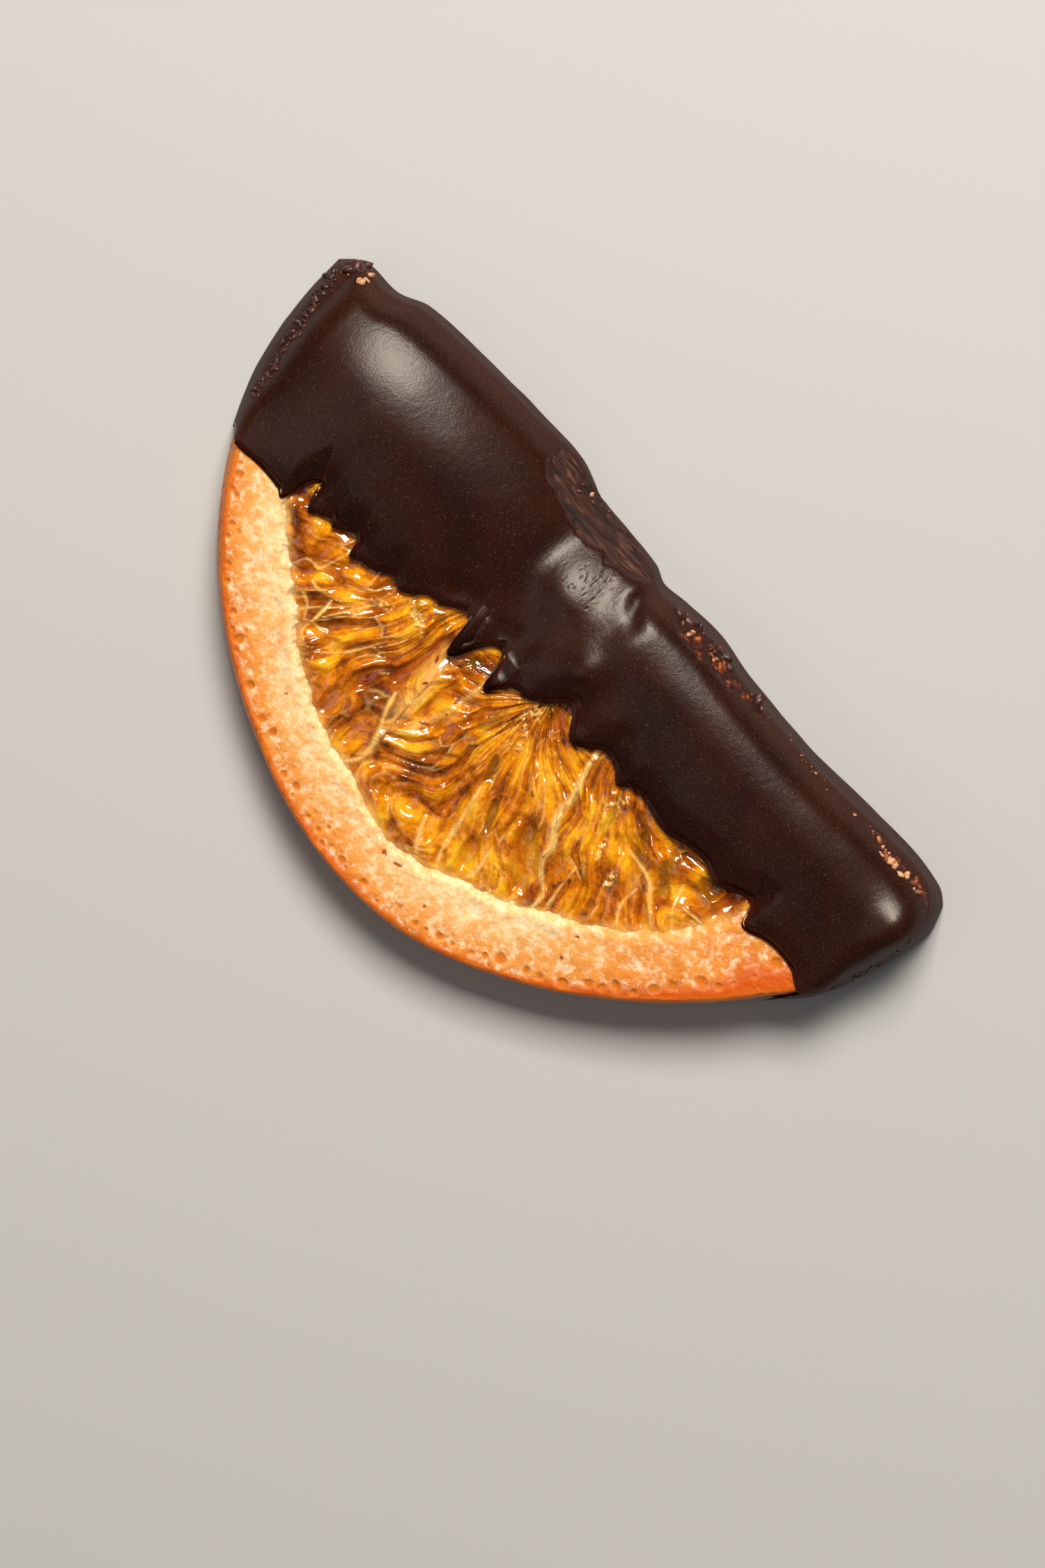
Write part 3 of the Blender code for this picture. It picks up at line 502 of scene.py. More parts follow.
def sac_relief(x, y, seed):
    """Juice sacs of the three segments: height, masks, and places across and along the sacs."""
    fans = []
    bend = 0.16 * soft_noise(x * 0.22, y * 0.22, 1.0, seed) + 0.01 * soft_noise(x * 0.8, y * 0.8, 2.0, seed)
    pull = 1.1 * soft_noise(x * 0.35, y * 0.35, 5.0, seed)
    for k, ((cx, cy), per_radian) in enumerate(FANS):
        turn = np.arctan2(y - cy, x - cx) + bend
        turn = np.where(turn > 0.6 * math.pi, turn - 2 * math.pi, turn)
        far = np.hypot(x - cx, y - cy) + pull
        sac = cells(turn * per_radian + 40.0, far / SAC_LENGTH + 7.0, seed + 10 * k)
        fine = cells(turn * per_radian * 2.7 + 90.0, far / (0.55 * SAC_LENGTH) + 3.0, seed + 10 * k + 5)
        fans.append((*sac, fine[0], fine[2], turn * FAN_REACH, far))
    left = x < along(MIDDLE_WALL, y)
    right = x > along(RIGHT_WALL, y)
    near, next_one, number, side, fine, fine_number, across, lengthways = [
        np.where(left, a, np.where(right, c, b)) for a, b, c in zip(*fans)]
    # Each sac is a dome, one in four is a hollow, and each leans a little
    dome = 0.5 + 0.5 * np.cos(math.pi * np.clip(near / 0.78, 0.0, 1.0))
    hollow = 1.0 - ramp(0.2, 0.3, number)
    height = dome * (0.04 + 0.3 * number) * (1.0 - hollow) - 0.13 * dome * hollow
    height = height + 0.16 * side * (number - 0.5)
    # Smaller ones on it
    fine_dome = 0.5 + 0.5 * np.cos(math.pi * np.clip(fine / 0.75, 0.0, 1.0))
    height = height + 0.07 * fine_dome * (0.3 + fine_number)
    # Pale torn skin between some of them
    torn = ramp(-0.1, 0.5, soft_noise(x * 0.5, y * 0.5, 9.0, seed + 3))
    skin = hump(next_one - near, 0.0, 0.075) * torn
    height = height + 0.07 * skin
    pale = skin * (0.3 + 0.2 * hollow)
    # The sacs' own tone, varied at random and lighter towards +X, with painted shade: lighter on each sac's
    # dome, darker towards its edges
    tone_and_shade = 0.44 + 0.12 * ramp(-10.0, 3.0, x) + 0.42 * (number - 0.5)
    tone_and_shade = tone_and_shade + 0.22 * (fine_number - 0.5) + 0.26 * (dome - 0.5)
    return height, tone_and_shade, pale, across, lengthways


def flesh_surface(angle, radius, x, y, quiet, seed):
    """Height of the flesh against the pith's level, with its masks."""
    edge = along(FLESH_RADIUS, angle)
    height, tone_and_shade, pale, across, lengthways = sac_relief(x, y, seed)
    smooth = np.zeros(x.shape)
    deep = np.zeros(x.shape)
    dark = np.zeros(x.shape)
    # Smooth pockets, darkened with painted shade
    for px, py, length, width, direction, depth, shade in POCKETS:
        wobble = 0.14 * soft_noise(x * 1.3, y * 1.3, px, 3)
        q = oval(x, y, (px, py, length, width, direction)) + wobble
        inside = 1.0 - ramp(0.5, 1.1, q)
        deep = np.maximum(deep, 0.7 * depth * inside * (1.0 - 0.35 * np.clip(q, 0, 1) ** 2))
        smooth = np.maximum(smooth, inside)
        dark = np.maximum(dark, shade * inside)
    height = height * (1.0 - 0.72 * smooth) - deep
    pale = pale * (1.0 - smooth)
    # Walls and threads that stand up
    for half, high, how_pale, points in WALLS:
        far, share = to_line(x, y, eased(points))
        wave = layered_noise(x * 0.9, y * 0.9, 2.0 + 9.0 * half, 9, 3, 0.6)
        wide = half * (0.55 + 0.5 * np.sin(math.pi * np.clip(share, 0.03, 0.97))) * (1.0 + 0.6 * wave)
        top = np.exp(-(far / np.maximum(wide, 0.06)) ** 2)
        height = height * (1.0 - 0.8 * top) + top * (0.55 * high + 0.12 * wave)
        pale = np.maximum(pale, top * how_pale * (0.75 + 0.5 * wave))
        dark = dark * (1.0 - top)
    # Browned, torn and dried places, with painted glints in the first torn place
    olive = spots(x, y, OLIVE_SPOTS, 0.5 * layered_noise(x * 1.6, y * 1.6, 4.0, 17, 2), 0.35, 1.15)
    crumb_and_glint = spots(x, y, TORN_AND_GLINT_SPOTS, 0.35 * soft_noise(x * 1.7, y * 1.7, 6.0), 0.45, 1.1)
    fleck = spots(x, y, FLECKS, 0.25 * soft_noise(x * 5, y * 5, 4.0), 0.7, 1.1)
    grit = ramp(-0.15, 0.5, layered_noise(x * 3.6, y * 3.6, 2.0, 19, 2, 0.7))
    height = height + 0.2 * crumb_and_glint * grit + 0.05 * fleck
    pale = np.maximum(pale, 0.85 * crumb_and_glint * grit)
    # Swells and ripples along the sacs, and a fine grit
    height = height + 0.08 * layered_noise(across * 1.9, lengthways * 0.6, 3.0, seed + 60, 3, 0.6)
    swell = soft_noise(across * 1.1, lengthways * 0.3, 7.0, seed + 66)
    height = height + 0.38 * swell * (1.0 - 0.6 * smooth)
    ripple = soft_noise(across * 1.3, lengthways * 0.8, 9.0, seed + 70) * (0.5 + 0.5 * ramp(0.0, 8.0, x))
    height = height + 0.2 * ripple * (1.0 - 0.7 * smooth)
    height = height + 0.02 * layered_noise(x * 3.6, y * 3.6, 3.0, seed + 64, 2, 0.6)
    # It falls away and pales to the pith, and ducks under the coat
    near_pith = ramp(0.0, 1.1, edge - radius)
    pale = np.maximum(pale, 0.55 * (1.0 - near_pith) * (0.5 + 0.5 * soft_noise(x * 1.5, y * 1.5, 8.0)))
    height = -FLESH_SINK + height * quiet * (0.35 + 0.65 * near_pith)
    height = height - 0.5 * (1.0 - ramp(-0.6, 0.4, edge - radius))
    at_coat = ramp(-1.6, -0.6, y - along(DIP_LINE, x))
    height = np.minimum(height, FLESH_HIGHEST - FLESH_UNDER_COAT * at_coat)
    masks = {"tone_and_shade": tone_and_shade, "pale": np.clip(pale, 0, 1), "dark": dark, "fleck": fleck, "olive": olive,
             "across": across, "lengthways": lengthways}
    return height, masks


def build_flesh(material):
    """The cut flesh: a fine polar grid over the shown face, its side, and a coarser one on the back."""
    angles = slice_angles(FLESH_COLUMNS)
    front_parts = np.concatenate([[0.15, 0.28, 0.36], np.linspace(0.40, 0.985, 134), [1.0, 1.02]])
    back_parts = np.linspace(1.02, 0.15, 26)
    edge = along(FLESH_RADIUS, angles)
    middle = np.array([0.0, CUT_Y])
    rows = []
    masks = {}
    for parts, back in ((front_parts, False), (back_parts, True)):
        part = parts[:, None]
        flat = middle + (polar(angles, edge)[None] - middle) * part[..., None]
        radius = np.hypot(flat[..., 0], flat[..., 1])
        angle = np.broadcast_to(angles, radius.shape)
        seed = 23 if back else 11
        quiet = BACK_SHARE if back else 1.0
        height, marks = flesh_surface(angle, radius, flat[..., 0], flat[..., 1], quiet, seed)
        z = -BACK_SHARE * height if back else SLICE_THICK + height
        z = z + LIFT - sag(flat[..., 1])
        rows.append(tuck(np.dstack([flat[..., 0], flat[..., 1], z])))
        for name, values in marks.items():
            masks.setdefault(name, []).append(values)
    points = np.concatenate(rows)
    count, columns = points.shape[:2]
    faces = grid_faces(count, columns)
    points = points.reshape(-1, 3)
    top = len(points)
    bottom = top + 1
    ends = np.array([[0.0, CUT_Y, FACE - FLESH_SINK], [0.0, CUT_Y, LIFT + 0.3]])
    points = np.vstack([points, tuck(ends)])
    last = (count - 1) * columns
    for i in range(columns - 1):
        faces.append([top, i + 1, i])
        faces.append([bottom, last + i, last + i + 1])
    faces.append([top] + [r * columns for r in range(count)] + [bottom])
    faces.append([bottom] + [r * columns + columns - 1 for r in reversed(range(count))] + [top])
    masks = {name: np.append(np.concatenate(values).ravel(), [0.0, 0.0]) for name, values in masks.items()}
    return make_piece("orange_flesh", points, faces, masks, material)


def zest_band(angle):
    """Width of the deep orange skin seen on the cut face."""
    return 0.42 + 0.55 * ramp(-62.0, -38.0, angle) + 0.1 * soft_noise(angle * 0.3, 2.0, 0.0, 4)


def rind_face(angle, radius, x, y, rim):
    """Relief of the pith and the cut skin, with the masks of their glands."""
    edge = along(FLESH_RADIUS, angle)
    inset = rim - radius
    # Spongy swells, and the pith's ragged lip over the flesh
    height = 0.12 * layered_noise(x * 0.45, y * 0.45, 1.0, 31, 2) - 0.06
    height = height + 0.06 * layered_noise(x * 1.9, y * 1.9, 6.0, 33, 4, 0.65)
    lip = edge - 0.15 + 0.45 * layered_noise(x * 0.9, y * 0.9, 2.0, 35, 3, 0.6)
    height = height - 1.1 * (1.0 - ramp(-0.55, 0.55, radius - lip)) ** 1.5
    height = height + 0.07 * hump(radius - lip, 0.75, 0.5)
    # Oil glands cut open: the larger ones, then scattered small ones
    gland = np.zeros(x.shape)
    rim_of_gland = np.zeros(x.shape)
    for gx, gy, size in GLANDS:
        far = np.hypot(x - gx, y - gy) + 0.4 * size * layered_noise(x * 1.6, y * 1.6, gx, 7, 2)
        gland = np.maximum(gland, 1.0 - ramp(0.4 * size, 1.05 * size, far))
        raised = hump(far, size + 0.07, 0.1) * (0.1 + 0.1 * math.sin(gx * 9))
        rim_of_gland = np.maximum(rim_of_gland, raised)
    spot, _, number, _ = cells(x * 1.15, y * 1.15, 41)
    small = (number < 0.35) * ramp(0.35, 0.7, inset) * (1.0 - ramp(1.5, 2.3, inset))
    small = small * (1.0 - ramp(0.10, 0.26, spot * (0.7 + 0.8 * number)))
    gland = np.maximum(gland, 0.5 * small)
    height = height - 0.2 * gland + 0.02 * rim_of_gland
    fleck = spots(x, y, PITH_SPECKS, 0.4 * soft_noise(x * 6, y * 6, 1.0), 0.6, 1.2)
    height = height - 0.08 * fleck
    soaked = 1.0 - 0.55 * ramp(-38.0, -27.0, angle)
    masks = {"inset": inset / zest_band(angle) * 0.42 * soaked, "gland": gland, "gland_rim": rim_of_gland,
             "fleck": fleck, "skin": np.zeros(x.shape)}
    return height, masks


def peel_relief(arc, z):
    """Pores and soft bumps of the orange's skin, over its outside."""
    near, _, number, _ = cells(arc / 0.95, z / 0.95, 51)
    pit = (1.0 - ramp(0.12, 0.42, near)) * (0.35 + 0.65 * number)
    swell = 0.07 * layered_noise(arc * 0.45, z * 0.45, 2.0, 53, 2)
    fine = 0.02 * soft_noise(arc * 3.0, z * 3.0, 5.0, 55)
    return swell + fine - 0.10 * pit, pit


def build_rind(material):
    """The rind: cut pith and skin on the face, the peel round the side, and the back."""
    angles = slice_angles(RIND_COLUMNS)
    edge = along(FLESH_RADIUS, angles)

    def face(back, steps):
        """Rows of the cut face, or of the back, at steps from the flesh out to the rim."""
        level = 0.0 if back else SLICE_THICK
        rim = rind_radius(angles, level)
        inner = edge - RIND_UNDER_FLESH
        out = []
        for share in steps:
            radius = inner + (rim - RIM_CORNER_IN - inner) * share
            flat = polar(angles, radius)
            height, marks = rind_face(angles, radius, flat[:, 0], flat[:, 1], rim)
            z = (-BACK_SHARE * height if back else SLICE_THICK + height) + LIFT - sag(flat[:, 1])
            out.append((np.column_stack([flat, z]), marks))
        return out

    def side(levels):
        """Rows of the peel round the outside, at levels over the slice's back."""
        out = []
        for z in levels:
            corner = max(0.0, RIM_CORNER - min(z, SLICE_THICK - z)) / RIM_CORNER
            stand_in = RIM_CORNER_IN * (1.0 - math.sqrt(max(0.0, 1.0 - corner**2)))
            radius = rind_radius(angles, z)
            arc = np.radians(angles) * RIND_ARC
            bump, pit = peel_relief(arc, np.full(arc.shape, z))
            flat = polar(angles, radius - stand_in + bump * (1.0 - 0.7 * corner))
            zero = np.zeros(angles.shape)
            marks = {"inset": zero, "gland": pit, "gland_rim": zero, "fleck": zero, "skin": zero + 1.0}
            out.append((np.column_stack([flat, z + LIFT - sag(flat[:, 1])]), marks))
        return out

    section = face(False, np.linspace(0.0, 1.0, 74))
    section += side(np.concatenate([np.linspace(6.96, 6.5, 6), np.linspace(6.38, 0.6, 44),
                                    np.linspace(0.5, 0.04, 5)]))
    section += face(True, np.linspace(1.0, 0.0, 22))
    count = len(section)
    columns = len(angles)
    points = np.concatenate([tuck(row) for row, _ in section])
    faces = grid_faces(count, columns)
    last = (count - 1) * columns
    faces += [[last + i, last + i + 1, i + 1, i] for i in range(columns - 1)]
    faces.append([r * columns for r in range(count)])
    faces.append([r * columns + columns - 1 for r in reversed(range(count))])
    masks = {name: np.concatenate([marks[name] for _, marks in section]) for name in section[0][1]}
    return make_piece("orange_rind", points, faces, masks, material)


def rim_drop(distance, edge_round):
    """How far a rounded edge has dropped at a distance in from its side."""
    inner = np.clip(edge_round - np.maximum(distance, 0.0), 0.0, edge_round)
    return edge_round - np.sqrt(edge_round**2 - inner**2)


def tip_hold(distance):
    """0 at an end of the straight side, rising on a quarter circle to 1."""
    short = np.clip(1.0 - distance / TIP_ROUND, 0.0, 1.0)
    return np.sqrt(1.0 - short**2)


def rim_thinning(v):
    """How much thinner the coat round the rind is near the dip line."""
    return (RIM_COAT - RIM_COAT_EDGE) * (1.0 - ramp(0.0, 0.3, v))


def mouth_angle(side, level):
    """Angle at which the dip line meets the rind on the left or right, at a level down."""
    return along(tuple(zip(LEVELS_DOWN, LEFT_MOUTH if side < 0 else RIGHT_MOUTH)), level)


def shell_patch(s, v, inner, back):
    """Flat places of one face of the coat, s along X and v from the dip line to the straight side."""
    z = 0.0 if back else SLICE_THICK
    level = LEVELS_DOWN[-1] if back else LEVELS_DOWN[0]
    keep_in = FOOT_ROUND if back else FACE_KEEP_IN
    out = CLEAR if inner else RIM_COAT - keep_in - rim_thinning(v)
    ends = []
    for side, tip in ((-1, LEFT_TIP), (1, RIGHT_TIP)):
        tip = tip_angle(side, TIP_Y + CLEAR) if inner else tip
        angle = mouth_angle(side, level) + (tip - mouth_angle(side, level)) * v
        ends.append(polar(angle, rind_radius(angle, z) + out))
    left, right = ends
    x = left[0, 0] + (right[0, 0] - left[0, 0]) * s
    line = along(BACK_DIP_LINE if back else DIP_LINE, x)
    if not back and not inner:
        line = line + 0.04 * soft_noise(x * 2.7, 0.0, 3.0, 71)
    near = np.where(s < 0.5, left[0, 1], right[0, 1])
    hold = ramp(0.0, 0.035, s) * (1.0 - ramp(0.965, 1.0, s))
    low = np.stack([x, near + (line - near) * hold], axis=-1)
    x = left[-1, 0] + (right[-1, 0] - left[-1, 0]) * s
    if inner:
        high = np.stack([x, cut_line(x) + CLEAR], axis=-1)
    else:
        near = np.where(s < 0.5, left[-1, 1], right[-1, 1])
        hold = tip_hold(np.minimum(x - left[-1, 0], right[-1, 0] - x))
        high = np.stack([x, near + (along(STRAIGHT_SIDE, x) - keep_in - near) * hold], axis=-1)
    sc = s[None, :, None]
    vc = v[:, None, None]
    ruled = left[:, None] * (1 - sc) + right[:, None] * sc + low[None] * (1 - vc) + high[None] * vc
    corners = (low[0] * (1 - sc) + low[-1] * sc) * (1 - vc) + (high[0] * (1 - sc) + high[-1] * sc) * vc
    return ruled - corners


def scar_mask(x, y):
    """1 in the rough broken place on the straight side, 0 outside it."""
    middle = (SCAR_FROM + SCAR_TO) / 2
    inner_edge = SCAR_DEEP_Y + SCAR_CURVE * ((x - middle) / (SCAR_TO - middle)) ** 2
    inner_edge = inner_edge + 0.22 * layered_noise(x * 0.9, 1.0, 0.0, 77, 2) + 0.55 * hump(x, -3.9, 0.5)
    return between(SCAR_FROM, SCAR_TO, 0.25, x) * ramp(inner_edge - 0.12, inner_edge + 0.14, y)


def nudge_tip(points):
    """Draw the coat out into the broken tip at its left end."""
    far = np.hypot(points[..., 0] - TIP_NUB[0], points[..., 1] - TIP_NUB[1])
    pull = TIP_NUB_HEIGHT * hump(far, 0.0, TIP_NUB_REACH)
    return points + np.array([-0.25, 1.0, 0.0]) * pull[..., None]


def distance_to_dip(flat):
    """Distance of each place of the shown coat from its dip line."""
    line = flat[0]
    fine = [a + (b - a) * t for a, b in zip(line, line[1:]) for t in (0.0, 0.25, 0.5, 0.75)]
    tree = kdtree.KDTree(len(fine))
    for i, place in enumerate(fine):
        tree.insert((place[0], place[1], 0.0), i)
    tree.balance()
    out = np.full(flat.shape[:2], 1.5 * NEAR_DIP)
    rows, columns = out.shape
    for r in range(rows):
        for c in range(columns):
            if flat[r, c, 1] - line[c, 1] < NEAR_DIP:
                out[r, c] = tree.find((flat[r, c, 0], flat[r, c, 1], 0.0))[2]
    # Rounded where two stretches of the line are equally near, as the middle of a drip is
    soft = out.copy()
    for _ in range(60):
        soft[:, 1:-1] = 0.25 * (soft[:, :-2] + 2.0 * soft[:, 1:-1] + soft[:, 2:])
    for _ in range(6):
        soft[1:-1] = 0.25 * (soft[:-2] + 2.0 * soft[1:-1] + soft[2:])
    return out + (soft - out) * ramp(0.2, 0.8, out)


def crack_mask(x, y):
    """1 in the chipped, broken edge of the right half's straight side."""
    far, share = to_line(x, y, CHIPS)
    far = far + 0.28 * layered_noise(x * 1.3, y * 1.3, 4.0, 83, 3, 0.6)
    wide = 0.62 * ramp(0.0, 0.12, share) * (1.0 - 0.65 * ramp(0.5, 1.0, share))
    chips = 1.0 - ramp(0.6 * wide, wide + 0.02, far)
    far_right, _ = to_line(x, y, TIP_CHIPS)
    far_right = far_right + 0.3 * layered_noise(x * 1.9, y * 1.9, 7.0, 85, 3, 0.6)
    return np.maximum(chips, 0.9 * (1.0 - ramp(0.1, 0.26, far_right)))


def crown_fall(x, y):
    """How far the shown chocolate falls away from its two crests."""
    falls = []
    for cx, cy, west, east, south, north in CRESTS:
        fall = np.where(x < cx, west, east) * (x - cx) ** 2
        falls.append(fall + np.where(y < cy, south, north) * (y - cy) ** 2)
    share = ramp(*BETWEEN_CRESTS, x)
    return falls[0] * (1.0 - share) + falls[1] * share


def coat_surface(flat, from_dip, rounding):
    """Height of the coat's shown face over the table, and its masks."""
    x = flat[..., 0]
    y = flat[..., 1]
    top = TOP - crown_fall(x, y) + 0.05 * layered_noise(x * 0.23, y * 0.23, 1.0, 61, 2)
    top = top + humps(x, y, SWELLS)
    for lx, ly, height, length, width, slope_x, slope_y, bow_x, bow_y in LEANS:
        share = np.exp(-(((x - lx) / length) ** 2 + ((y - ly) / width) ** 2) ** 1.5)
        lean = height + slope_x * (x - lx) + slope_y * (y - ly)
        lean = lean - bow_x * (x - lx) ** 2 - bow_y * (y - ly) ** 2
        top = top + (lean - top) * share
    # The round edge at the dip line, and the rise from it to the crests
    bead = np.sqrt(np.clip(1.0 - (1.0 - np.clip(from_dip / EDGE_BEAD, 0.0, 1.0)) ** 2, 0.0, 1.0))
    above = np.clip((y - along(DIP_LEVEL, x)) / DOME_REACH, 0.0, 1.0)
    lip = np.sin(0.5 * math.pi * np.clip(from_dip / LIP_REACH, 0.0, 1.0)) ** 1.2
    share = DOME_SHARE * (1.0 - (1.0 - above) ** 2) + (1.0 - DOME_SHARE) * lip
    off_edge = ramp(0.0, 0.5, from_dip)
    radius = np.hypot(x, y)
    angle = np.degrees(np.arctan2(np.minimum(y, -0.01), x))
    over_flesh = 1.0 - ramp(-1.3, -0.2, radius - along(FLESH_RADIUS, angle))
    base = LIFT + SLICE_THICK - EDGE_UNDER - sag(y)
    base = base - EDGE_IN_FLESH * over_flesh * (1.0 - ramp(0.2, 3.0, from_dip))
    full = top - LIFT - SLICE_THICK + EDGE_UNDER
    z = base + EDGE_HIGH * bead + (full - EDGE_HIGH) * share * off_edge
    # Rounded down to the straight side and to the ends
    from_rim = rind_radius(angle, SLICE_THICK) + RIM_COAT - radius
    from_side = along(STRAIGHT_SIDE, x) - y
    z = z - rim_drop(from_side, SIDE_ROUND)
    z = z - rim_drop(from_rim, rounding) * off_edge
    # Groove, beads, dents and pores
    groove, part = to_line(x, y, GROOVE)
    z = z - GROOVE_DEPTH * hump(groove, 0.0, GROOVE_WIDTH) * (1.0 - ramp(0.5, 1.0, part))
    z = z + humps(x, y, BEADS) * off_edge + humps(x, y, DENTS)
    pore, _, number, _ = cells(x * 2.4, y * 2.4, 91)
    pit = (number < 0.8 * humps(x, y, PORED)) * (1.0 - ramp(0.08, 0.24, pore))
    z = z - PORE_DEPTH * pit
    # The broken place: long fibres and lumps inside a raised edge
    broken = scar_mask(x, y)
    wander = 0.5 * soft_noise(x * 0.5, y * 0.5, 3.0, 63)
    fibre = layered_noise(x * 0.5 + wander, y * 2.6 + 1.5 * wander, 5.0, 64, 3, 0.6)
    lump = layered_noise(x * 0.8, y * 1.2, 2.0, 66, 3, 0.5)
    z = z - broken * (SCAR_DEPTH - 0.26 * fibre - 0.16 * lump)
    z = z + 0.1 * hump(broken, 0.5, 0.28) * (broken > 0.01)
    # Never lower than a thin wall over the slice
    past_pocket = y - cut_line(x) - CLEAR
    inside = inside_coat(x, y)
    least = base + EDGE_UNDER - TUCK_DOWN * SLICE_THICK * inside + 0.5 * CLEAR + WALL_THINNEST * inside
    least = least - LEAST_FALL * rim_drop(SHOULDER_ROUND - past_pocket, SHOULDER_ROUND)
    least = least - LEAST_FALL * rim_drop(from_rim, LEAST_ROUND) * inside - (1.0 - bead) * EDGE_UNDER
    z = smooth_most(z, least, LEAST_BLEND * ramp(0.0, 3.0, from_dip))
    # Chips, and a breath of unevenness
    chipped = crack_mask(x, y)
    z = z - chipped * (CHIP_DEPTH + 0.3 * layered_noise(x * 2.2, y * 3.2, 6.0, 68, 3, 0.7))
    z = z + 0.006 * soft_noise(x * 5.0, y * 5.0, 0.0, 69)
    side = 1.0 - ramp(0.1, 1.6, np.minimum(from_side, from_rim + 0.3))
    masks = {"scar": broken, "chip": chipped, "from_dip": from_dip, "side": side}
    return z, masks


def build_coat(material):
    """The chocolate: rings from the dip line to the straight side, outside and inside."""
    count = COAT_COLUMNS + 1
    # Columns lie closer together round the two drips
    dense = 1.0 + 1.6 * hump(np.linspace(-31, 33, 400), -4.0, 5.0)
    steps = np.concatenate([[0.0], np.cumsum(dense)])
    steps = np.interp(np.linspace(0, steps[-1], count), steps, np.linspace(0, 1, 401))
    back_steps = np.linspace(0, 1, 61)
    bead = np.array([0.0, 0.003, 0.008, 0.015, 0.024])
    v = np.concatenate([bead, np.linspace(0.034, 1.0, 92)])
    side_levels = np.concatenate([np.linspace(0.03, 0.24, 7), np.linspace(0.32, 0.97, 9)])

    rounding = RIM_EDGE_ROUND + (RIM_END_ROUND - RIM_EDGE_ROUND) * ramp(0.14, 0.45, v)
    flat = shell_patch(steps, v, False, False)
    from_dip = distance_to_dip(flat)
    z, masks = coat_surface(flat, from_dip, rounding[:, None])
    front = nudge_tip(np.dstack([flat, z]))
    flat_back = shell_patch(back_steps, v, False, True)
    back = np.dstack([flat_back, np.zeros(flat_back.shape[:2])])

    def rim(side, level, top):
        """Column of the coat beside the rind at one level down; top is its front edge's height."""
        mouth = mouth_angle(side, level)
        tip = LEFT_TIP if side < 0 else RIGHT_TIP
        angle = mouth + (tip - mouth) * v
        height = top * (1.0 - level)
        drop = top - height + rim_drop(FACE_KEEP_IN, rounding)
        inset = np.minimum(FACE_KEEP_IN, rim_drop(drop, rounding)) + rim_drop(height, FOOT_ROUND)
        arc = np.radians(angle) * COAT_ARC
        wave = 0.06 * layered_noise(arc * 0.5, height * 0.5, 3.0, 73, 2)
        radius = rind_radius(angle, np.minimum(height, SLICE_THICK)) + RIM_COAT - rim_thinning(v)
        return nudge_tip(np.column_stack([polar(angle, radius - inset + wave), height]))

    left = [rim(-1, level, front[:, 0, 2]) for level in side_levels]
    right = [rim(1, level, front[:, -1, 2]) for level in side_levels]
    outer = np.concatenate([front, np.stack(right, 1), back[:, ::-1], np.stack(left[::-1], 1)], axis=1)

    # The inside, which the slice hides
    inner_v = np.array([0.0, 0.3, 0.65, 1.0])
    flat_in = shell_patch(steps, inner_v, True, False)
    flat_in_back = shell_patch(back_steps, inner_v, True, True)
    front_in = np.dstack([flat_in, LIFT + SLICE_THICK + 0.5 * CLEAR - sag(flat_in[..., 1])])
    back_in = np.dstack([flat_in_back, np.full(flat_in_back.shape[:2], FOOT)])

    def rim_in(side, level):
        """The same of its inside."""
        mouth = mouth_angle(side, level)
        angle = mouth + (tip_angle(side, TIP_Y + CLEAR) - mouth) * inner_v
        height = SLICE_THICK * (1.0 - level)
        flat = polar(angle, rind_radius(angle, height) + CLEAR)
        return np.column_stack([flat, LIFT + height - sag(flat[:, 1])])

    left_in = [rim_in(-1, level) for level in side_levels]
    right_in = [rim_in(1, level) for level in side_levels]
    inner = [front_in, np.stack(right_in, 1), back_in[:, ::-1], np.stack(left_in[::-1], 1)]
    inner = tuck(np.concatenate(inner, axis=1))

    ring = outer.shape[1]
    points = np.concatenate([outer.reshape(-1, 3), inner.reshape(-1, 3)])
    marks = {}
    for name, values in masks.items():
        whole = np.zeros(outer.shape[:2])
        whole[:, :count] = values
        if name == "from_dip":
            whole[:, count:] = v[:, None] * FAR_FROM_DIP
        if name == "side":
            whole[:, count:] = 1.0
        hidden = np.full(inner.shape[0] * ring, FAR_FROM_DIP if name == "from_dip" else 0.0)
        marks[name] = np.concatenate([whole.ravel(), hidden])

    inner_first = len(v) * ring
    starts = [(a, a + ring) for a in range(0, inner_first - ring, ring)]
    starts += [(a, a + ring) for a in range(inner_first, len(points) - ring, ring)] + [(0, inner_first)]
    faces = [[a + i, a + (i + 1) % ring, b + (i + 1) % ring, b + i] for a, b in starts for i in range(ring)]

    added = [points]
    total = len(points)

    def cap(start, middle_rows, middle_marks):
        """Close the straight side from a ring's front to its back, by rows between with their masks."""
        nonlocal total
        levels = len(side_levels)
        front_ids = list(range(start, start + count))
        right_ids = list(range(start + count, start + count + levels))
        back_ids = list(range(start + count + levels, start + count + levels + len(back_steps)))[::-1]
        left_ids = list(range(start + count + levels + len(back_steps), start + ring))[::-1]
        rows = [front_ids]
        for k, row in enumerate(middle_rows):
            ids = list(range(total, total + count - 2))
            added.append(row[1:-1])
            for name in marks:
                extra = middle_marks[k].get(name, np.zeros(count))
                marks[name] = np.append(marks[name], extra[1:-1])
            total += count - 2
            rows.append([left_ids[k]] + ids + [right_ids[k]])
        for row, following in zip(rows, rows[1:]):
            for i in range(count - 1):
                faces.append([row[i], row[i + 1], following[i + 1], following[i]])
        at = 0
        for i in range(count - 1):
            share = (i + 1) / (count - 1)
            target = int(round(share * (len(back_steps) - 1)))
            while at < target and steps[i + 1] >= (back_steps[at] + back_steps[at + 1]) / 2:
                faces.append([rows[-1][i], back_ids[at + 1], back_ids[at]])
                at += 1
            faces.append([rows[-1][i], rows[-1][i + 1], back_ids[at]])
        while at < len(back_steps) - 1:
            faces.append([rows[-1][-1], back_ids[at + 1], back_ids[at]])
            at += 1

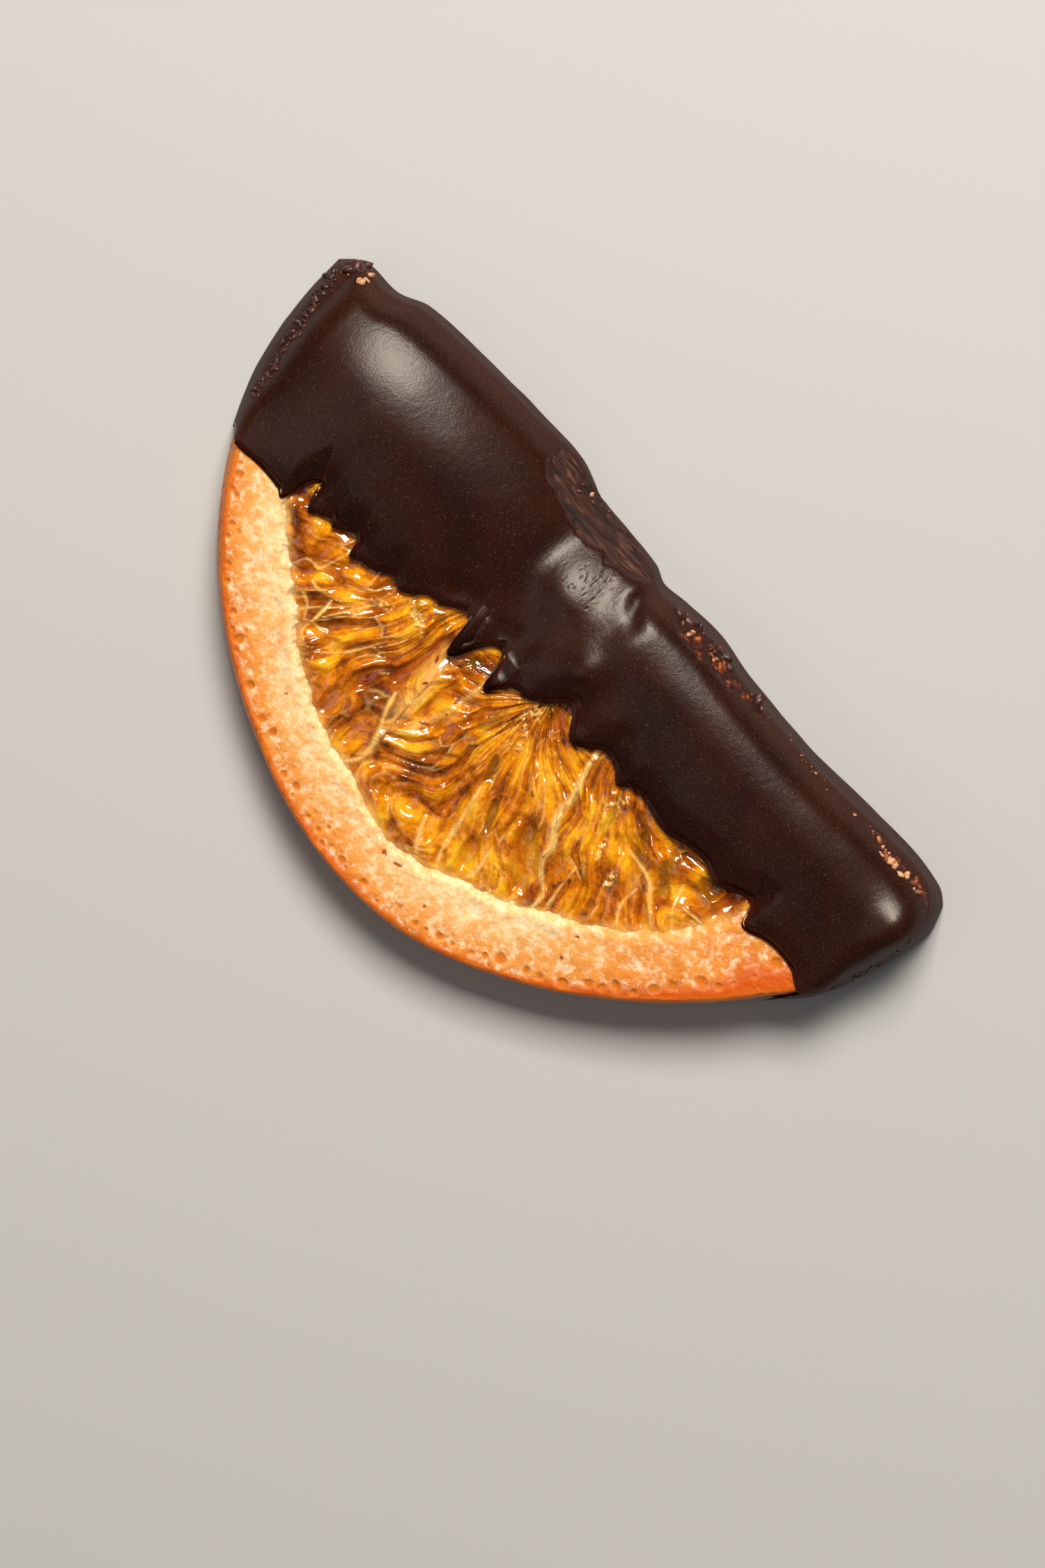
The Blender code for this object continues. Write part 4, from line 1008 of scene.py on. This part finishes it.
    # The straight side, rough where it broke
    top_row = front[-1]
    back_x = np.interp(steps, back_steps, back[-1][:, 0])
    middle_rows = []
    middle_marks = []
    for k, level in enumerate(side_levels):
        height = top_row[:, 2] * (1.0 - level)
        drop = top_row[:, 2] - height + rim_drop(FACE_KEEP_IN, SIDE_ROUND)
        inset = np.minimum(FACE_KEEP_IN, rim_drop(drop, SIDE_ROUND)) + rim_drop(height, FOOT_ROUND)
        x = top_row[:, 0] + (back_x - top_row[:, 0]) * level
        ragged = layered_noise(x * 0.4, height * 0.5, 0.0, 79, 3, 0.6)
        part = (2.0 * x - SCAR_FROM - SCAR_TO) / (SCAR_TO - SCAR_FROM)
        foot = 0.6 + 5.0 * part**2 + 1.4 * ragged
        broken = between(SCAR_FROM, SCAR_TO, 0.4, x + 1.8 * ragged * ramp(0.0, 0.3, level))
        broken = broken * ramp(foot, foot + 1.6, height)
        fibre = layered_noise(x * 0.8, height * 3.0, 5.0, 64, 3, 0.7)
        lump = layered_noise(x * 1.1, height * 1.2, 2.0, 66, 3, 0.6)
        y = along(STRAIGHT_SIDE, x) - inset - broken * (0.15 - 0.18 * fibre - 0.3 * lump)
        y = y + 0.08 * layered_noise(x * 0.3, height * 0.4, 6.0, 75, 2)
        side_y = np.where(steps < 0.5, left[k][-1][1], right[k][-1][1])
        side_x = np.where(steps < 0.5, left[k][-1][0], right[k][-1][0])
        hold = tip_hold(np.abs(x - side_x))
        y = side_y + (np.maximum(y, top_row[:, 1] - 0.5) - side_y) * hold
        middle_rows.append(np.column_stack([x, y, height]))
        middle_marks.append({"scar": broken, "side": np.ones(count),
                             "from_dip": np.full(count, FAR_FROM_DIP)})
    cap((len(v) - 1) * ring, middle_rows, middle_marks)

    # And its inside
    top_in = front_in[-1]
    back_in_x = np.interp(steps, back_steps, back_in[-1][:, 0])
    middle_rows = []
    for k, level in enumerate(side_levels):
        height = top_in[:, 2] + (FOOT - top_in[:, 2]) * level
        x = top_in[:, 0] + (back_in_x - top_in[:, 0]) * level
        middle_rows.append(tuck(np.column_stack([x, top_in[:, 1], height])))
    cap(inner_first + (len(inner_v) - 1) * ring, middle_rows, [{}] * len(side_levels))
    return make_piece("chocolate_shell", np.concatenate(added), faces, marks, material)


def build_crumbs(coat, material):
    """Crumbs of broken chocolate and peel along the coat's edges, and warm copper ones that are painted
    glints, all in one mesh on the coat.
    """
    surface = bvhtree.BVHTree.FromObject(coat, bpy.context.evaluated_depsgraph_get())
    mesh = bmesh.new()
    colour = mesh.verts.layers.float.new("warm")
    k = 0
    for line, spread, count, smallest, largest, coolest, warmest in CRUMBS:
        line = eased(line)
        for _ in range(count):
            # Where it lies, its size and its turn
            pick = [scatter(k, n, 3, 101) for n in range(8)]
            k += 1
            at = pick[0] * (len(line) - 1)
            step = min(int(at), len(line) - 2)
            x, y = [line[step][n] + (line[step + 1][n] - line[step][n]) * (at - step)
                    + spread * (pick[1 + n] + pick[3 + n] - 1.0) for n in (0, 1)]
            start = (Vector((x, y, 15.0)) + Vector(ROUND_MIDDLE)) * MM
            seat = surface.ray_cast(start, Vector((0.0, 0.0, -1.0)))[0]
            if seat is None:
                continue
            size = (smallest + (largest - smallest) * pick[5] ** 2) * MM
            turn = Matrix.Rotation(2 * math.pi * pick[6], 4, "Z") @ Matrix.Rotation(1.2 * pick[7], 4, "X")
            shape = turn @ Matrix.Diagonal((1.35 * size, (0.6 + 0.4 * pick[7]) * size, 0.75 * size, 1.0))
            place = Matrix.Translation(seat - Vector((0.0, 0.0, 0.15 * size)))
            made = bmesh.ops.create_icosphere(mesh, subdivisions=2, radius=1.0)["verts"]
            warm = coolest + (warmest - coolest) * pick[3] ** 2
            for vert in made:
                x, y, z = vert.co * 1.6
                rough = float(layered_noise(x + 9.0 * k, y, z, 103, 2))
                vert.co = place @ (shape @ (vert.co * (1.0 + 0.45 * rough)))
                vert.co.z = max(vert.co.z, 0.0)
                vert[colour] = warm
    data = bpy.data.meshes.new("chocolate_crumbs")
    mesh.to_mesh(data)
    mesh.free()
    data.polygons.foreach_set("use_smooth", [True] * len(data.polygons))
    data.materials.append(material)
    piece = bpy.data.objects.new("chocolate_crumbs", data)
    bpy.context.scene.collection.objects.link(piece)
    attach(piece, "root")
    return piece


def linear(colour):
    """An sRGB hex colour as linear values, for a shader's socket."""
    out = []
    for k in (1, 3, 5):
        value = int(colour[k:k + 2], 16) / 255
        out.append(value / 12.92 if value <= 0.04045 else ((value + 0.055) / 1.055) ** 2.4)
    return (*out, 1.0)


def plug(tree, node, sockets):
    """Set a node's sockets to values, or link them to other nodes' outputs."""
    for name, value in sockets.items():
        if isinstance(value, bpy.types.NodeSocket):
            tree.links.new(value, node.inputs[name])
        else:
            node.inputs[name].default_value = value


def add_node(tree, kind, out, sockets, stops=(), **settings):
    """Add a node with its settings and links, and give its output."""
    made = tree.nodes.new("ShaderNode" + kind)
    for name, value in settings.items():
        setattr(made, name, value)
    plug(tree, made, sockets)
    for _ in stops[2:]:
        made.color_ramp.elements.new(0.5)
    for k, (place, colour) in enumerate(stops):
        made.color_ramp.elements[k].position = place
        made.color_ramp.elements[k].color = linear(colour)
    return made.outputs[out]


def new_material(name, masks):
    """A material, what adds nodes to it, the places on the piece, and the outputs of its masks."""
    material = bpy.data.materials.new(name)
    material.use_nodes = True
    add = functools.partial(add_node, material.node_tree)
    place = add("TexCoord", "Object", {})
    return material, add, place, [add("Attribute", "Fac", {}, attribute_name=mask) for mask in masks]


def swells(place, size_mm, detail=2.0, roughness=0.5):
    """A noise texture's sockets for swells of a real size in millimetres."""
    return {"Vector": place, "Scale": 1.0 / (size_mm * MM), "Detail": detail, "Roughness": roughness}


def finish(material, colour, tints, relief, values):
    """Lay tints over a colour by their masks, add relief of a strength and depth, and set the shader."""
    tree = material.node_tree
    for share, tint in tints:
        tint = linear(tint) if isinstance(tint, str) else tint
        colour = add_node(tree, "Mix", 2, {0: share, 6: colour, 7: tint}, data_type="RGBA")
    height, strength, depth_mm = relief
    normal = add_node(tree, "Bump", "Normal",
                      {"Height": height, "Strength": strength, "Distance": depth_mm * MM})
    plug(tree, tree.nodes["Principled BSDF"], {"Base Color": colour, "Normal": normal, **values})
    return material


# Cut orange flesh: thin-skinned sacs of juice, torn by the knife. Light goes about a millimetre into it
# and comes out amber; the wet skins give small sharp glints.
def juice_sacs():
    material, add, place, found = new_material("cut_orange_flesh", (
        "tone_and_shade", "dark", "olive", "pale", "fleck", "across", "lengthways"))
    tone_and_shade, dark, olive, pale, fleck, across, lengthways = found
    broad = add("TexNoise", "Fac", swells(place, 3.0))
    fine = add("TexNoise", "Fac", swells(place, 0.45, 3.0, 0.6))
    # Fibres of juice skin: 0.25 mm wide and 2 mm long, lying along the sacs
    fan = add("CombineXYZ", "Vector", {"X": across, "Y": lengthways})
    fan = add("Mapping", "Vector", {"Vector": fan, "Scale": (1 / 0.25, 1 / 2.0, 1.0)})
    fibre = add("TexNoise", "Fac", {"Vector": fan, "Scale": 1.0, "Detail": 2.0, "Distortion": 0.4})
    for noise, share in ((broad, 1.5), (fine, 0.7), (fibre, 0.25)):
        tone_and_shade = add("Math", 0, {0: noise, 1: share, 2: tone_and_shade}, operation="MULTIPLY_ADD")
    tone_and_shade = add("Math", 0, {0: tone_and_shade, 1: 1.23}, operation="SUBTRACT")
    # The sacs' tone with their painted shade picks the flesh's colour
    colour = add("ValToRGB", "Color", {"Fac": tone_and_shade}, (
        (0.06, "#662C01"), (0.28, "#A25002"), (0.5, "#CC7202"), (0.7, "#E69404"), (0.92, "#F4B620")))
    tints = []
    # dark is painted shade in the hollows; the other masks are the flesh's own colours
    for mask, strength, tint in ((dark, 0.75, "#A24402"), (olive, 0.5, "#7A5808"), (pale, 1.3, "#FCB634"),
                                 (pale, 0.6, "#FFE0A0"), (fleck, 1.0, "#7A2C0C")):
        share = add("Math", 0, {0: mask, 1: strength}, operation="MULTIPLY", use_clamp=True)
        tints.append((share, tint))
    grit = add("TexNoise", "Fac", swells(place, 0.22, 3.0, 0.6))
    relief = add("Math", 0, {0: fibre, 1: 1.6, 2: grit}, operation="MULTIPLY_ADD")
    return finish(material, colour, tints, (relief, 1.0, 0.13), {
        "Roughness": 0.25, "IOR": 1.4, "Specular IOR Level": 0.0, "Subsurface Weight": 0.85,
        "Subsurface Radius": (1.0, 0.35, 0.05), "Subsurface Scale": 0.8 * MM, "Coat Weight": 1.0,
        "Coat Roughness": 0.1, "Coat IOR": 1.6})


# Rind: spongy white pith that has soaked up some juice, cut oil glands, and the waxy orange skin
def rind():
    material, add, place, found = new_material("orange_pith_and_peel", (
        "inset", "gland_rim", "gland", "fleck", "skin"))
    inset, gland_rim, gland, fleck, skin = found
    wander = add("TexNoise", "Fac", swells(place, 1.6, 3.0, 0.6))
    depth = add("Math", 0, {0: wander, 1: 4.2, 2: inset}, operation="MULTIPLY_ADD")
    depth = add("MapRange", "Result", {"Value": depth, "From Min": 2.1, "From Max": 8.1})
    colour = add("ValToRGB", "Color", {"Fac": depth}, (
        (0.0, "#D66A10"), (0.07, "#DF7F1E"), (0.18, "#E8923A"), (0.36, "#F0A654"), (0.6, "#F7BE78"),
        (0.85, "#FBD69A")))
    edge = add("MapRange", "Result", {
        "Value": inset, "From Min": 0.25, "From Max": 0.62, "To Min": 1.0, "To Max": 0.0})
    # Cottony pith: 0.9 mm tufts, some soaked with juice and some white
    cotton = add("TexNoise", "Fac", swells(place, 0.9, 5.0, 0.7))
    soaked = add("MapRange", "Result", {"Value": cotton, "From Min": 0.5, "From Max": 0.72, "To Max": 0.75})
    white = add("MapRange", "Result", {"Value": cotton, "From Min": 0.52, "From Max": 0.34, "To Max": 0.8})
    patches = add("TexNoise", "Fac", swells(place, 2.5))
    peel = add("ValToRGB", "Color", {"Fac": patches}, ((0.3, "#DD640C"), (0.7, "#EE8314")))
    pits = add("Math", 0, {0: gland, 1: 0.5}, operation="MULTIPLY")
    peel = add("Mix", 2, {0: pits, 6: peel, 7: linear("#C8500A")}, data_type="RGBA")
    return finish(material, colour, (
        (soaked, "#EE9C48"), (white, "#FDE6C0"), (edge, "#D65E10"), (gland_rim, "#F8CC98"),
        (gland, "#D87818"), (fleck, "#B4500F"), (skin, peel)), (cotton, 0.7, 0.3), {
        "Roughness": 0.45, "IOR": 1.4, "Specular IOR Level": 0.25, "Subsurface Weight": 0.6,
        "Subsurface Radius": (1.0, 0.5, 0.2), "Subsurface Scale": 1.2 * MM})


# Dark chocolate, dipped and set: cocoa butter at its skin gives a satin shine, broken by a very fine
# grain, and a thin edge lets a little dark red through. Where it has broken it is rough and dusty.
def dark_chocolate():
    material, add, place, found = new_material("set_dark_chocolate", (
        "from_dip", "side", "scar", "chip"))
    from_dip, side, scar, chip = found
    cloud = add("TexNoise", "Fac", swells(place, 6.0))
    colour = add("ValToRGB", "Color", {"Fac": cloud}, ((0.3, "#1D0904"), (0.7, "#2D1007")))
    # Bloom of cocoa butter, finer than this in the real one
    speck = add("TexNoise", "Fac", swells(place, 0.14, 1.0))
    dust = add("MapRange", "Result", {"Value": speck, "From Min": 0.6, "From Max": 0.8, "To Max": 0.45})
    lip = add("MapRange", "Result", {
        "Value": from_dip, "From Min": 0.1, "From Max": 0.55, "To Min": 0.9, "To Max": 0.0})
    # Where it broke, layers 0.4 mm thick run along the straight side
    layers = add("Mapping", "Vector", {"Vector": place, "Scale": (0.16, 1.0, 1.0)})
    flakes = add("TexNoise", "Fac", {**swells(layers, 0.42, 3.0, 0.6), "Distortion": 0.8})
    broken = add("ValToRGB", "Color", {"Fac": flakes}, (
        (0.36, "#1A0B07"), (0.56, "#3C2018"), (0.74, "#6E4A3A")))
    # Copper on the chipped edge: painted glints, and small bits of orange
    slivers = add("TexNoise", "Fac", swells(place, 0.8, 3.0, 0.6))
    copper_glints = add("ValToRGB", "Color", {"Fac": slivers}, (
        (0.5, "#2A100A"), (0.6, "#62260F"), (0.7, "#BE6A36")))
    # Sides and rim walls painted lighter and redder than the top: painted light of the side band
    warm = add("Math", 0, {0: side, 1: 0.55}, operation="MULTIPLY")
    rough = add("Math", 0, {0: scar, 1: chip}, operation="MAXIMUM")
    rough = add("Math", 0, {0: rough, 1: side}, operation="MAXIMUM")
    rough = add("MapRange", "Result", {"Value": rough, "To Min": 0.31, "To Max": 0.7})
    waves = add("TexNoise", "Fac", swells(place, 1.2))
    relief = add("Math", 0, {0: waves, 1: 0.5, 2: speck}, operation="MULTIPLY_ADD")
    torn = add("Math", 0, {0: flakes, 1: scar}, operation="MULTIPLY")
    relief = add("Math", 0, {0: torn, 1: 14.0, 2: relief}, operation="MULTIPLY_ADD")
    return finish(material, colour, (
        (warm, "#3A150B"), (dust, "#6E4C38"), (lip, "#581408"), (scar, broken), (chip, copper_glints)),
        (relief, 0.25, 0.05), {"Roughness": rough, "IOR": 1.5, "Specular IOR Level": 0.27,
                               "Specular Tint": linear("#FFF5EA")})


# Crumbs from the broken edge: dry dark chocolate, with dust and bits of orange on some; the warmest, copper
# ones are painted glints
def broken_crumbs():
    material, add, place, (warm,) = new_material("crumbled_dark_chocolate", ("warm",))
    dust = add("TexNoise", "Fac", swells(place, 0.35, 3.0, 0.6))
    warm = add("Math", 0, {0: dust, 1: 0.7, 2: warm}, operation="MULTIPLY_ADD")
    colour = add("ValToRGB", "Color", {"Fac": warm}, (
        (0.35, "#250E08"), (0.6, "#4A1F12"), (0.85, "#97502A"), (1.0, "#D09A6C")))
    return finish(material, colour, (), (dust, 0.6, 0.1), {"Roughness": 0.4, "IOR": 1.5})


# A plain pale table, painted matt
def table_top():
    material = bpy.data.materials.new("pale_table")
    material.use_nodes = True
    plug(material.node_tree, material.node_tree.nodes["Principled BSDF"],
         {"Base Color": linear("#BDBBB7"), "Roughness": 0.8})
    return material


def build_table():
    """The plain pale floor."""
    bpy.ops.mesh.primitive_plane_add(size=3.0, location=(0.0, 0.0, 0.0))
    table = bpy.context.object
    table.name = "floor"
    table.data.materials.append(table_top())


# The photograph's camera, measured about the round's middle
CAMERA_AT = (-11.273, 53.531, 352.110)
CAMERA_BACK = Vector((-0.04873814, 0.20538397, 0.97746715))
PICTURE_UP = Vector((-0.743, 0.669, 0.0))
LENS = 100.0
SENSOR = 36.0
# Lights: direction along the picture's right and up for 1 towards the camera, distance in metres,
# size, watts, colour
LIGHTS = (("key", 0.1, 0.46, 0.6, 0.2, 5.1, "#FFFAF3"), ("fill", -0.8, -0.3, 0.8, 0.5, 0.6, "#FFFFFF"))
ROOM_LIGHT = 0.09


def build_camera():
    """A 100 mm lens over the slice, turned as the photograph is."""
    data = bpy.data.cameras.new("camera")
    data.lens = LENS
    data.sensor_width = SENSOR
    data.clip_start = 0.01
    camera = bpy.data.objects.new("camera", data)
    bpy.context.scene.collection.objects.link(camera)
    back = CAMERA_BACK.normalized()
    right = PICTURE_UP.cross(back).normalized()
    up = back.cross(right)
    place = (Vector(CAMERA_AT) + Vector(ROUND_MIDDLE)) * MM
    turn = Matrix((right, up, back)).transposed().to_4x4()
    camera.matrix_world = Matrix.Translation(place) @ turn
    bpy.context.scene.camera = camera
    return right, up, back


def add_light(name, direction, distance, size, power, colour):
    """A soft square light that looks at the slice."""
    data = bpy.data.lights.new(name, "AREA")
    data.shape = "SQUARE"
    data.size = size
    data.energy = power
    data.color = linear(colour)[:3]
    light = bpy.data.objects.new(name, data)
    direction = direction.normalized()
    light.location = direction * distance
    light.rotation_euler = direction.to_track_quat("Z", "Y").to_euler()
    bpy.context.scene.collection.objects.link(light)


def build_lights(right, up, back):
    """One soft key from the top of the picture, a weak fill, and a pale room."""
    for name, along_right, along_up, distance, size, power, colour in LIGHTS:
        add_light(name, right * along_right + up * along_up + back, distance, size, power, colour)
    world = bpy.data.worlds.new("room")
    bpy.context.scene.world = world
    world.use_nodes = True
    backdrop = world.node_tree.nodes["Background"]
    backdrop.inputs["Color"].default_value = (1.0, 1.0, 1.0, 1.0)
    backdrop.inputs["Strength"].default_value = ROOM_LIGHT


def main():
    """The slice, its coat and crumbs, the table, camera and lights."""
    flesh = build_flesh(juice_sacs())
    skin = build_rind(rind())
    coat = build_coat(dark_chocolate())
    crumbs = build_crumbs(coat, broken_crumbs())
    for pieces, node, slot in (((flesh, skin), "orange_slice", "orange"),
                               ((coat, crumbs), "chocolate_coat", "chocolate")):
        for piece in pieces:
            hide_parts(node)
    build_table()
    build_lights(*build_camera())
    bpy.context.scene.view_settings.view_transform = "Standard"


main()
